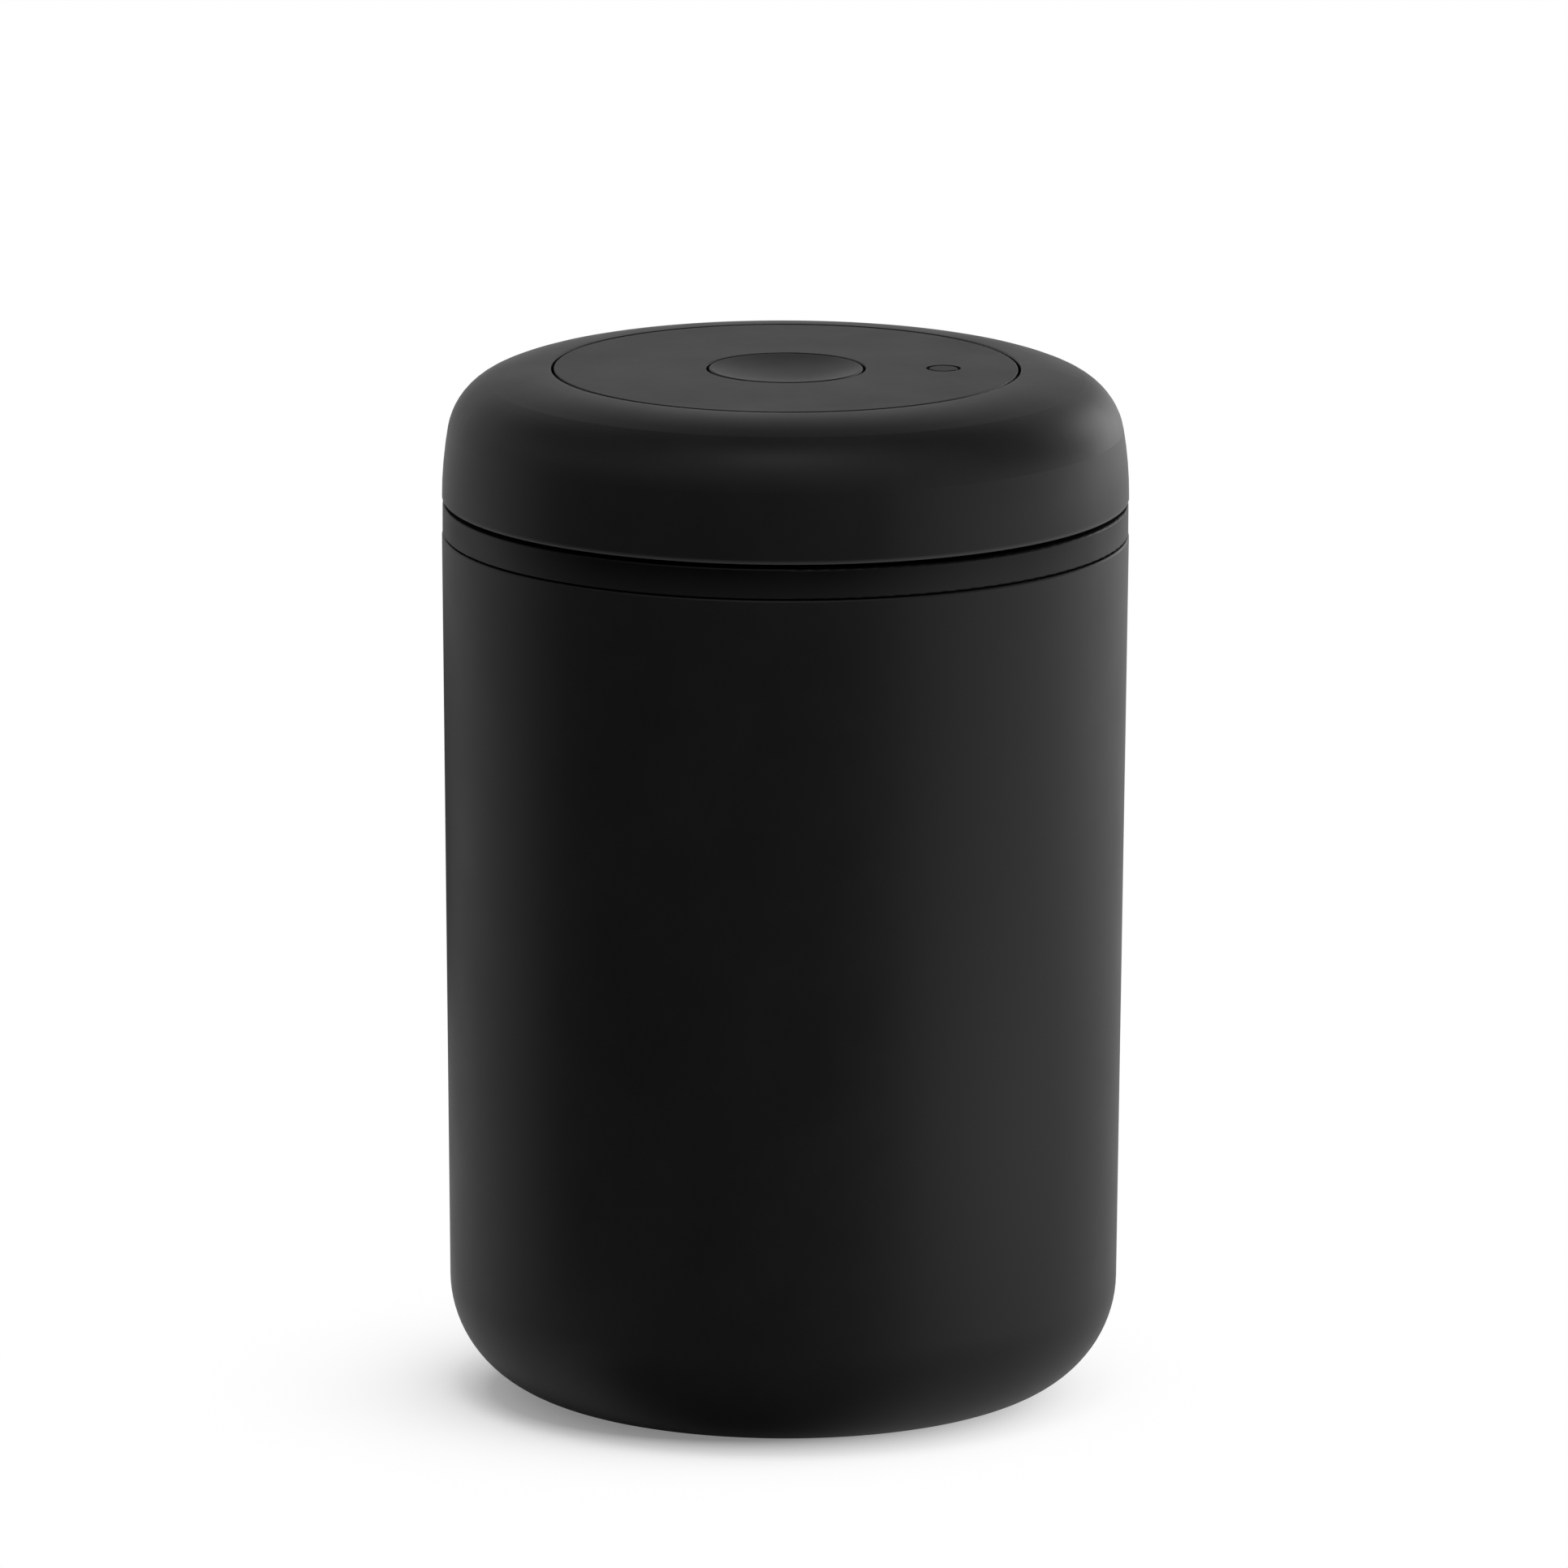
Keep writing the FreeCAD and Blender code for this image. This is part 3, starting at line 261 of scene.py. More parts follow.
@dataclass(frozen=True)
class PatternedFinish(Finish):
    """A surface whose colour, gloss and relief follow the fine patterns that making and use have left on it.

    A pattern runs from 0 to 1. The colour goes from plain to marked between the two values of TONES, and the
    roughness from its first value to its second between those of GLOSS. Real patterns are often finer than
    a tenth of a millimetre. They are drawn several times coarser, so that they show.
    """

    plain: str
    marked: str
    roughness: tuple[float, float]
    pattern_mm: float
    depth_mm: float

    TONES: ClassVar[tuple[float, float]] = (0.3, 0.7)
    GLOSS: ClassVar[tuple[float, float]] = (0.3, 0.7)

    def colour(
        self, tree: bpy.types.NodeTree, place: bpy.types.NodeSocket, pattern: bpy.types.NodeSocket,
    ) -> bpy.types.NodeSocket:
        """Lay the colour.

        Args:
            tree: the node tree.
            place: where on the object the surface is.
            pattern: how much the surface is marked there.

        Returns:
            The colour's socket.
        """
        ramp = add_node(tree, "ShaderNodeValToRGB", links={"Fac": pattern})
        for element, value, shade in zip(ramp.color_ramp.elements, self.TONES, (self.plain, self.marked)):
            element.position = value
            element.color = linear(shade)
        return ramp.outputs["Color"]

    def surface(
        self,
        tree: bpy.types.NodeTree,
        place: bpy.types.NodeSocket,
        pattern: bpy.types.NodeSocket,
        relief: bpy.types.NodeSocket,
        settings: dict[str | int, Any],
    ) -> bpy.types.Node:
        """Lay colour, gloss and relief, and the shader that they feed.

        Args:
            tree: the node tree.
            place: where on the object the surface is.
            pattern: what colour and gloss follow.
            relief: what the bumps follow.
            settings: the shader's constant values.

        Returns:
            The shader node.
        """
        low, high = self.GLOSS
        first, last = self.roughness
        sheen = add_node(
            tree, "ShaderNodeMapRange",
            {"From Min": low, "From Max": high, "To Min": first, "To Max": last}, {"Value": pattern},
        )
        bump = add_node(tree, "ShaderNodeBump", {"Distance": self.depth_mm * MM}, {"Height": relief})
        return add_node(
            tree, "ShaderNodeBsdfPrincipled", settings,
            {
                "Base Color": self.colour(tree, place, pattern),
                "Roughness": sheen.outputs["Result"],
                "Normal": bump.outputs["Normal"],
            },
        )


@dataclass(frozen=True)
class GrainedPolymer(PatternedFinish):
    """A moulded or sprayed polymer: one colour, a fine grain, and gloss that handling has left uneven.

    The grain scatters what the surface mirrors, so it looks matt and shows soft, wide highlights.
    """

    mottle_mm: float = 18.0
    # A matt coat mirrors far less than the shader's usual half. This share is matched to the picture.
    specular: float = 0.095

    TONES: ClassVar[tuple[float, float]] = (0.35, 0.75)

    def lay(self, tree: bpy.types.NodeTree) -> bpy.types.Node:
        """Lay grain as bump, and broad mottling in colour and roughness.

        Args:
            tree: an empty node tree.

        Returns:
            The shader node.
        """
        place = add_node(tree, "ShaderNodeTexCoord").outputs["Object"]
        mottle = add_node(
            tree, "ShaderNodeTexNoise",
            {"Scale": per_metre(self.mottle_mm), "Detail": 4.0, "Roughness": 0.6}, {"Vector": place},
        )
        grain = add_node(
            tree, "ShaderNodeTexNoise",
            {"Scale": per_metre(self.pattern_mm), "Detail": 2.0, "Roughness": 0.5}, {"Vector": place},
        )
        return self.surface(
            tree, place, mottle.outputs["Fac"], grain.outputs["Fac"], {"Specular IOR Level": self.specular},
        )


@dataclass(frozen=True)
class PaintedEdgeLightPolymer(GrainedPolymer):
    """A polymer with painted light: its colour turns paler towards one level edge."""

    painted_edge_light: str = "#2c2c2d"
    edge_z_mm: float = 0.0
    fade_mm: float = 1.0

    def colour(
        self, tree: bpy.types.NodeTree, place: bpy.types.NodeSocket, pattern: bpy.types.NodeSocket,
    ) -> bpy.types.NodeSocket:
        """Lay the colour, and fade it to the paler painted light down to the edge.

        Args:
            tree: the node tree.
            place: where on the object the surface is.
            pattern: how much the surface is marked there.

        Returns:
            The colour's socket.
        """
        axes = add_node(tree, "ShaderNodeSeparateXYZ", links={"Vector": place})
        # Painted light: the paler colour's share grows from fade_mm above the edge level to full at the edge.
        painted_light_share = add_node(
            tree, "ShaderNodeMapRange",
            {"From Min": (self.edge_z_mm + self.fade_mm) * MM, "From Max": self.edge_z_mm * MM},
            {"Value": axes.outputs["Z"]},
        )
        mix = add_node(
            tree, "ShaderNodeMixRGB", {"Color2": linear(self.painted_edge_light)},
            {"Fac": painted_light_share.outputs["Result"], "Color1": super().colour(tree, place, pattern)},
        )
        return mix.outputs["Color"]


@dataclass(frozen=True)
class SpunSteel(PatternedFinish):
    """Steel spun against an abrasive pad: fine rings round the axis, which draw its shine out across them."""

    # A ring fades along its run over about this length.
    RUN_MM: ClassVar[float] = 60.0

    def lay(self, tree: bpy.types.NodeTree) -> bpy.types.Node:
        """Lay rings that follow radius and height and fade slowly along their run.

        Args:
            tree: an empty node tree.

        Returns:
            The shader node.
        """
        place = add_node(tree, "ShaderNodeTexCoord").outputs["Object"]
        flat = add_node(
            tree, "ShaderNodeVectorMath", {"operation": "MULTIPLY", 1: (1.0, 1.0, 0.0)}, {0: place},
        )
        radius = add_node(tree, "ShaderNodeVectorMath", {"operation": "LENGTH"}, {0: flat.outputs["Vector"]})
        axes = add_node(tree, "ShaderNodeSeparateXYZ", links={"Vector": place})
        along = add_node(
            tree, "ShaderNodeMath", {"operation": "MULTIPLY", 1: self.pattern_mm / self.RUN_MM},
            {0: axes.outputs["X"]},
        )
        rings = add_node(
            tree, "ShaderNodeCombineXYZ",
            links={"X": radius.outputs["Value"], "Y": axes.outputs["Z"], "Z": along.outputs["Value"]},
        )
        lines = add_node(
            tree, "ShaderNodeTexNoise",
            {"Scale": per_metre(self.pattern_mm), "Detail": 3.0, "Roughness": 0.7},
            {"Vector": rings.outputs["Vector"]},
        ).outputs["Fac"]
        return self.surface(tree, place, lines, lines, {"Metallic": 1.0, "Anisotropic": 0.4})


@dataclass(frozen=True)
class DrawnSteel(PatternedFinish):
    """Steel drawn through a die, or turned: bright, with faint scratches and a thin uneven film of oil."""

    TONES: ClassVar[tuple[float, float]] = (0.3, 0.65)

    def lay(self, tree: bpy.types.NodeTree) -> bpy.types.Node:
        """Lay scratches as bump and roughness, and the film as colour.

        Args:
            tree: an empty node tree.

        Returns:
            The shader node.
        """
        place = add_node(tree, "ShaderNodeTexCoord").outputs["Object"]
        scratches = add_node(
            tree, "ShaderNodeTexNoise",
            {"Scale": per_metre(self.pattern_mm), "Detail": 5.0, "Distortion": 1.5}, {"Vector": place},
        ).outputs["Fac"]
        return self.surface(tree, place, scratches, scratches, {"Metallic": 1.0})


@dataclass(frozen=True)
class MouldedSilicone(PatternedFinish):
    """Silicone rubber from a blasted mould: soft, dull and dusty. A clear grade lets light in."""

    clear: float = 0.0

    TONES: ClassVar[tuple[float, float]] = (0.5, 0.8)

    def lay(self, tree: bpy.types.NodeTree) -> bpy.types.Node:
        """Lay specks of dust in colour, and the blasted mould as bump.

        Args:
            tree: an empty node tree.

        Returns:
            The shader node.
        """
        place = add_node(tree, "ShaderNodeTexCoord").outputs["Object"]
        specks = add_node(
            tree, "ShaderNodeTexNoise",
            {"Scale": per_metre(self.pattern_mm), "Detail": 6.0, "Roughness": 0.75}, {"Vector": place},
        ).outputs["Fac"]
        return self.surface(tree, place, specks, specks, {"IOR": 1.41, "Transmission Weight": self.clear})


@dataclass(frozen=True)
class GradedNet(Finish):
    """Black net laid in fewer and fewer layers towards the edges of an arc, so that what it hides fades in.

    Radius and depth are in metres. The angle is from the front, and grows to the right. Within core of its
    reach the net hides all.
    """

    shade: str
    radius: float
    half_depth: float
    angle_deg: float
    half_angle_deg: float
    core: float = 0.5

    def lay(self, tree: bpy.types.NodeTree) -> bpy.types.Node:
        """Lay the net as a mix of black cloth and nothing, by the distance from the middle of the arc.

        Args:
            tree: an empty node tree.

        Returns:
            The shader node.
        """
        place = add_node(tree, "ShaderNodeTexCoord").outputs["Object"]
        flat = add_node(
            tree, "ShaderNodeVectorMath", {"operation": "MULTIPLY", 1: (1.0, -1.0, 0.0)}, {0: place},
        )
        radius = add_node(tree, "ShaderNodeVectorMath", {"operation": "LENGTH"}, {0: flat.outputs["Vector"]})
        axes = add_node(tree, "ShaderNodeSeparateXYZ", links={"Vector": flat.outputs["Vector"]})
        angle = add_node(
            tree, "ShaderNodeMath", {"operation": "ARCTAN2"}, {0: axes.outputs["X"], 1: axes.outputs["Y"]},
        )
        polar = add_node(
            tree, "ShaderNodeCombineXYZ", links={"X": radius.outputs["Value"], "Y": angle.outputs["Value"]},
        )
        middle = (self.radius, math.radians(self.angle_deg), 0.0)
        reach = (self.half_depth, math.radians(self.half_angle_deg), 1.0)
        thin = add_node(
            tree, "ShaderNodeMapRange",
            {"interpolation_type": "SMOOTHSTEP", "From Min": self.core, "From Max": 1.0},
            {"Value": distance_share(tree, polar.outputs["Vector"], middle, reach)},
        )
        cloth = add_node(tree, "ShaderNodeBsdfDiffuse", {"Color": linear(self.shade)})
        gap = add_node(tree, "ShaderNodeBsdfTransparent")
        return add_node(
            tree, "ShaderNodeMixShader",
            links={0: thin.outputs["Result"], 1: cloth.outputs[0], 2: gap.outputs[0]},
        )


@dataclass(frozen=True)
class WhitePaper(Finish):
    """A sheet of paper that looks plain white, but for a shadow near the object.

    The shadow is whole within core of its reach, thins out quickly and then slowly, and is gone at the end.
    The lift is light that the shadow keeps. Places are in metres.
    """

    shade: str
    centre: tuple[float, float, float]
    reach: tuple[float, float, float]
    core: float
    end: float
    falloff: float
    lift: float

    def lay(self, tree: bpy.types.NodeTree) -> bpy.types.Node:
        """Lay lit paper near the object, and plain white away from it.

        Args:
            tree: an empty node tree.

        Returns:
            The shader node.
        """
        place = add_node(tree, "ShaderNodeTexCoord").outputs["Object"]
        near = add_node(
            tree, "ShaderNodeMapRange", {"From Min": self.end, "From Max": self.core},
            {"Value": distance_share(tree, place, self.centre, self.reach)},
        )
        kept = add_node(
            tree, "ShaderNodeMath", {"operation": "POWER", 1: self.falloff}, {0: near.outputs["Result"]},
        )
        fade = add_node(tree, "ShaderNodeMath", {"operation": "SUBTRACT", 0: 1.0}, {1: kept.outputs["Value"]})
        blank = add_node(
            tree, "ShaderNodeMath", {"operation": "MULTIPLY"},
            {0: fade.outputs["Value"], 1: looked_at(tree, *Sight)},
        )
        lifted = add_node(
            tree, "ShaderNodeMath", {"operation": "MULTIPLY", 1: self.lift},
            {0: looked_at(tree, Sight.CAMERA, Sight.THROUGH)},
        )
        paper = add_node(tree, "ShaderNodeBsdfDiffuse", {"Color": linear(self.shade)})
        glow = add_node(
            tree, "ShaderNodeEmission", {"Color": linear("#ffffff")}, {"Strength": lifted.outputs["Value"]},
        )
        lit = add_node(tree, "ShaderNodeAddShader", links={0: paper.outputs[0], 1: glow.outputs[0]})
        white = add_node(tree, "ShaderNodeEmission", {"Color": linear("#ffffff"), "Strength": 1.0})
        return add_node(
            tree, "ShaderNodeMixShader",
            links={0: blank.outputs["Value"], 1: lit.outputs[0], 2: white.outputs[0]},
        )


# Polyester powder baked on steel: it flows out almost smooth, and dries matt with a faint orange peel.
POWDER_COAT = GrainedPolymer("powder_coated_steel", "#141415", "#171718", (0.45, 0.5), 0.9, 0.0012)

# Soft-feel paint sprayed on an ABS dome: an even velvet black, with a soft light along its shoulder.
# Its lower edge is painted paler: a painted highlight on the rounded edge, where it catches the light.
DOME_PAINT = PaintedEdgeLightPolymer(
    "soft_feel_painted_abs", "#141415", "#171718", (0.45, 0.5), 0.6, 0.0012,
    painted_edge_light="#3a3a3b", edge_z_mm=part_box("twist_dome")[0].z / MM, fade_mm=0.75,
)

# The same paint on the flat disc, a touch flatter there, and on the button, which fingers polish unevenly.
PLATE_PAINT = GrainedPolymer("soft_feel_painted_disc", "#141415", "#171718", (0.49, 0.54), 0.6, 0.001)
BUTTON_PAINT = GrainedPolymer("soft_feel_painted_button", "#141415", "#18181a", (0.45, 0.52), 0.6, 0.001)

# ABS moulded black in a spark-eroded tool, unpainted: a little flatter than the paint round it.
PIN_ABS = GrainedPolymer(
    "moulded_black_abs", "#131314", "#161617", (0.52, 0.58), 0.5, 0.001, specular=0.075,
)

# Polypropylene, black right through, for what touches the coffee: waxy, with a coarser moulded grain.
# The collar is painted shade: darker at its top under the dome, paler down to the rim it is lifted from.
PAN_POLYPROPYLENE = PaintedEdgeLightPolymer(
    "moulded_black_polypropylene", "#060606", "#090909", (0.46, 0.54), 0.7, 0.0015,
    painted_edge_light="#151516", edge_z_mm=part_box("canister_body")[1].z / MM, fade_mm=4.8,
)

# Moulded glass-filled nylon: dark grey, dull, with the fibres just showing as a coarse mottle.
INNER_NYLON = GrainedPolymer(
    "glass_filled_nylon", "#2a2b2d", "#3a3b3d", (0.5, 0.65), 0.8, 0.004, mottle_mm=3.0, specular=0.4,
)

# Acetal, moulded in a polished tool: milky white and slippery, with a soft gloss.
ACETAL = GrainedPolymer(
    "natural_acetal", "#d9d7cf", "#e6e4dc", (0.3, 0.4), 1.2, 0.002, mottle_mm=9.0, specular=0.5,
)

# Stainless sheet drawn into a can, left bare inside and spun satin: silvery, with long soft streaks of light.
INSIDE_STEEL = SpunSteel("spun_stainless_steel", "#bdbbb6", "#dddbd7", (0.46, 0.32), 0.35, 0.0012)

# Stainless bar turned on a lathe, for screws, pins and stem: the brightest metal here, with small glints.
SCREW_STEEL = DrawnSteel("turned_stainless_steel", "#96958f", "#c4c3c0", (0.22, 0.38), 0.6, 0.001)

# Spring wire pulled hard through a die: greyer, with an oily sheen along its coils.
SPRING_STEEL = DrawnSteel("hard_drawn_spring_wire", "#85847f", "#b9b8b4", (0.25, 0.4), 0.4, 0.001)

# Stainless wire woven into cloth: scuffed by the loom, so that its glints are soft.
WEAVE_STEEL = DrawnSteel("woven_stainless_wire", "#8e8c87", "#bfbdb8", (0.3, 0.42), 0.5, 0.001)

# Silicone pressed in a blasted mould: a soft grey for seals, and a duller, dusty black for the pad.
GASKET_SILICONE = MouldedSilicone("grey_moulded_silicone", "#4b4c4f", "#626366", (0.5, 0.65), 1.2, 0.002)
PAD_SILICONE = MouldedSilicone("black_moulded_silicone", "#1d1d1f", "#343436", (0.6, 0.75), 0.9, 0.003)

# Silicone without pigment, from a smoother mould: milky, with light glowing through it.
VALVE_SILICONE = MouldedSilicone(
    "clear_moulded_silicone", "#d5d6d2", "#e4e4e0", (0.3, 0.4), 0.8, 0.001, clear=0.6,
)

# Velvet on the cards round the object: a deep pile that swallows light.
FLAG_VELVET = GrainedPolymer("black_velvet", "#030303", "#050505", (0.9, 0.95), 1.5, 0.05)

# Black net on the floor before the foot: it thins out, so the dark crescent that it gives the body is soft.
FOOT_NET = GradedNet(
    "layered_black_net", "#030303", radius=0.078, half_depth=0.048, angle_deg=-8.0, half_angle_deg=48.0,
)

# Smooth matt paper: lit so evenly that only the shadow near the foot shows.
FLOOR_PAPER = WhitePaper(
    "white_paper", "#e8e8e8", centre=(-0.009, -0.004, 0.0), reach=(0.095, 0.083, 1.0),
    core=0.435, end=1.5, falloff=5.6, lift=0.2,
)

FINISHES: dict[Slot, Finish] = {
    Slot.COATED_STEEL: POWDER_COAT,
    Slot.DOME_MOULDING: DOME_PAINT,
    Slot.PLATE_MOULDING: PLATE_PAINT,
    Slot.BUTTON_MOULDING: BUTTON_PAINT,
    Slot.INDICATOR_MOULDING: PIN_ABS,
    Slot.COLLAR_MOULDING: PAN_POLYPROPYLENE,
    Slot.INNER_MOULDING: INNER_NYLON,
    Slot.WHITE_ACETAL: ACETAL,
    Slot.GREY_SILICONE: GASKET_SILICONE,
    Slot.DARK_SILICONE: PAD_SILICONE,
    Slot.CLEAR_SILICONE: VALVE_SILICONE,
    Slot.SPRING_STEEL: SPRING_STEEL,
    Slot.SCREW_STEEL: SCREW_STEEL,
    Slot.MESH_STEEL: WEAVE_STEEL,
}


def arc(centre: Point, radius: float, start_deg: float, end_deg: float, steps: int) -> list[Point]:
    """Points along a circle arc.

    Args:
        centre: the circle's centre.
        radius: its radius.
        start_deg: where the arc starts, anticlockwise from the outward direction.
        end_deg: where it ends.
        steps: the number of stretches that it is cut into.

    Returns:
        The points, both ends among them.
    """
    points = []
    for step in range(steps + 1):
        angle = math.radians(start_deg + (end_deg - start_deg) * step / steps)
        points.append((centre[0] + radius * math.cos(angle), centre[1] + radius * math.sin(angle)))
    return points


@dataclass
class Stretch:
    """A run of a half section with one finish: points of radius and height, in millimetres."""

    points: list[Point]
    finish: Finish


def new_object(
    name: str, vertices: Sequence[Sequence[float]], faces: Sequence[Sequence[int]], crease_deg: float = 30.0,
) -> bpy.types.Object:
    """Make a smooth-shaded mesh object, with edges sharper than crease_deg kept crisp.

    Args:
        name: the piece's name.
        vertices: points in metres.
        faces: corner numbers of each face.
        crease_deg: the angle from which an edge stays crisp.

    Returns:
        The object, linked to the scene.
    """
    mesh = bpy.data.meshes.new(name)
    mesh.from_pydata(vertices, [], faces)
    mesh.polygons.foreach_set("use_smooth", [True] * len(mesh.polygons))
    mesh.set_sharp_from_angle(angle=math.radians(crease_deg))
    mesh.validate()
    piece = bpy.data.objects.new(name, mesh)
    bpy.context.scene.collection.objects.link(piece)
    return piece


def turned(
    name: str, stretches: Sequence[Stretch], segments: int, start_deg: float = 0.0, sweep_deg: float = 360.0,
) -> bpy.types.Object:
    """Turn a closed half section about the vertical axis, all round or through a sector.

    Args:
        name: the piece's name.
        stretches: the section's runs in order, anticlockwise, each one starting where the last one ends.
        segments: the number of steps round the axis.
        start_deg: where a sector starts.
        sweep_deg: how far it goes.

    Returns:
        The object, with one material for each finish.
    """
    outline: list[Point] = []
    finishes: list[Finish] = []
    for stretch in stretches:
        outline += stretch.points[:-1]
        finishes += [stretch.finish] * (len(stretch.points) - 1)
    if stretches[-1].points[-1] != outline[0]:
        outline.append(stretches[-1].points[-1])
        finishes.append(stretches[-1].finish)
    whole = sweep_deg == 360.0
    posts = segments if whole else segments + 1
    vertices: list[tuple[float, float, float]] = []
    columns: list[list[int]] = []
    for radius, height in outline:
        on_axis = radius == 0.0
        column = []
        for post in range(1 if on_axis else posts):
            angle = math.radians(start_deg + sweep_deg * post / segments)
            column.append(len(vertices))
            vertices.append((radius * MM * math.cos(angle), radius * MM * math.sin(angle), height * MM))
        columns.append(column * posts if on_axis else column)
    unique = list(dict.fromkeys(finishes))
    faces = []
    indices = []
    for row, first in enumerate(columns):
        last = columns[(row + 1) % len(columns)]
        for segment in range(segments):
            beside = (segment + 1) % posts
            corners = (first[segment], first[beside], last[beside], last[segment])
            face = tuple(dict.fromkeys(corners))
            if len(face) > 2:
                faces.append(face)
                indices.append(unique.index(finishes[row]))
    if not whole:
        faces.append(tuple(column[0] for column in columns))
        faces.append(tuple(column[-1] for column in reversed(columns)))
        indices += [0, 0]
    piece = new_object(name, vertices, faces)
    for finish in unique:
        piece.data.materials.append(finish.material())
    piece.data.polygons.foreach_set("material_index", indices)
    return piece


def tube(
    points: Sequence[Vector], radius_mm: float, sides: int, first_vertex: int,
) -> tuple[list[Vector], list[tuple[int, ...]]]:
    """A round wire along a line that never runs straight up.

    Args:
        points: the wire's middle line, in metres.
        radius_mm: the wire's radius.
        sides: the number of sides of its section.
        first_vertex: the number of the first vertex in the mesh that it joins.

    Returns:
        The vertices and the faces, end caps among them.
    """
    vertices = []
    faces = []
    for index, point in enumerate(points):
        ahead = points[min(index + 1, len(points) - 1)]
        behind = points[max(index - 1, 0)]
        way = (ahead - behind).normalized()
        across = UP.cross(way).normalized()
        above = way.cross(across)
        for side in range(sides):
            angle = math.tau * side / sides
            vertices.append(point + (across * math.cos(angle) + above * math.sin(angle)) * radius_mm * MM)
    for ring in range(len(points) - 1):
        start = first_vertex + ring * sides
        for side in range(sides):
            beside = (side + 1) % sides
            faces.append((start + side, start + beside, start + sides + beside, start + sides + side))
    end = first_vertex + (len(points) - 1) * sides
    faces.append(tuple(first_vertex + side for side in reversed(range(sides))))
    faces.append(tuple(end + side for side in range(sides)))
    return vertices, faces


@dataclass
class SubAssembly:
    """Pieces that move as one body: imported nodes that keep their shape, and finer meshes for some of them."""

    body: Body

    def build(self) -> list[bpy.types.Object]:
        """Make the finer meshes, if the sub-assembly has any."""
        return []

    def take_place(self, piece: bpy.types.Object, node: str | None, slot: Slot) -> bpy.types.Object:
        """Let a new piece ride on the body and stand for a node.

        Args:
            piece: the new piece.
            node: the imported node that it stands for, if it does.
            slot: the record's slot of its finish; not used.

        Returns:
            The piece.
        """
        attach(piece, self.body.value)
        if node:
            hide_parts(node)
        return piece

    def dress(self) -> list[str]:
        """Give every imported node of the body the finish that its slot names.

        Returns:
            The names of the nodes that were dressed.
        """
        names = frame["record"]["behaviour"]["bodies"][self.body.value]
        for name in names:
            for holder in frame["nodes"][name].material_slots:
                finish = FINISHES[Slot(holder.material.name.split(".")[0])]
                holder.link = "OBJECT"
                holder.material = finish.material()
        return names


@dataclass
class Canister(SubAssembly):
    """Drawn steel can, powder-coated outside and bare inside, on a silicone pad."""

    body: Body = Body.CANISTER
    wall_mm: float = 0.8
    draft_deg: float = 0.57
    corner_mm: float = 19.7
    pad_fit_mm: float = 0.3
    pad_proud_mm: float = 0.4
    groove_radius_mm: float = 0.7
    groove_pitch_mm: float = 5.0
    segments: int = 288
    corner_steps: int = 24
    rim_steps: int = 6

    def build(self) -> list[bpy.types.Object]:
        """Make the can and its pad."""
        return [self.build_can(), self.build_pad()]

    def build_can(self) -> bpy.types.Object:
        """Turn the can: its outside up to the top of the rim is coated, its inside is bare steel.

        Returns:
            The can's object.
        """
        low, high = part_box("canister_body")
        pad_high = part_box("base_pad")[1]
        foot = low.z / MM
        wall = self.wall_mm
        seat = pad_high.x / MM + self.pad_fit_mm
        recess = pad_high.z / MM
        radius = high.x / MM
        rim = high.z / MM - wall / 2
        lean_sine = math.sin(math.radians(self.draft_deg))
        lean_cosine = math.cos(math.radians(self.draft_deg))
        corner_level = foot + self.corner_mm
        corner_x = radius + ((corner_level - rim) * lean_sine - self.corner_mm) / lean_cosine
        rim_centre = (radius - wall / 2 * lean_cosine, rim + wall / 2 * lean_sine)
        lean = self.draft_deg
        outside = [(0.0, recess), (seat, recess), (seat, foot)]
        outside += arc((corner_x, corner_level), self.corner_mm, -90.0, -lean, self.corner_steps)
        outside += arc(rim_centre, wall / 2, -lean, 90.0, self.rim_steps)
        inside = arc(rim_centre, wall / 2, 90.0, 180.0 - lean, self.rim_steps)
        inside += arc((corner_x, corner_level), self.corner_mm - wall, -lean, -90.0, self.corner_steps)
        inside += [(seat + wall, foot + wall), (seat + wall, recess + wall), (0.0, recess + wall)]
        stretches = [Stretch(outside, POWDER_COAT), Stretch(inside, INSIDE_STEEL)]
        shell = turned("canister_shell", stretches, self.segments)
        return self.take_place(shell, "canister_body", Slot.COATED_STEEL)

    def build_pad(self) -> bpy.types.Object:
        """Turn the pad, with round grooves in its underside that keep it from slipping.

        Returns:
            The pad's object.
        """
        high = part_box("base_pad")[1]
        radius = high.x / MM
        top = high.z / MM
        edge = self.pad_proud_mm / 2
        section = [(0.0, 0.0)]
        groove = self.groove_pitch_mm
        while groove < radius - self.groove_pitch_mm / 2:
            section += arc((groove, 0.0), self.groove_radius_mm, 180.0, 0.0, self.rim_steps)
            groove += self.groove_pitch_mm
        section += arc((radius - edge, edge), edge, -90.0, 0.0, self.rim_steps)
        section += [(radius, top), (0.0, top)]
        pad = turned("base_pad_grooved", [Stretch(section, PAD_SILICONE)], self.segments // 2)
        return self.take_place(pad, "base_pad", Slot.DARK_SILICONE)


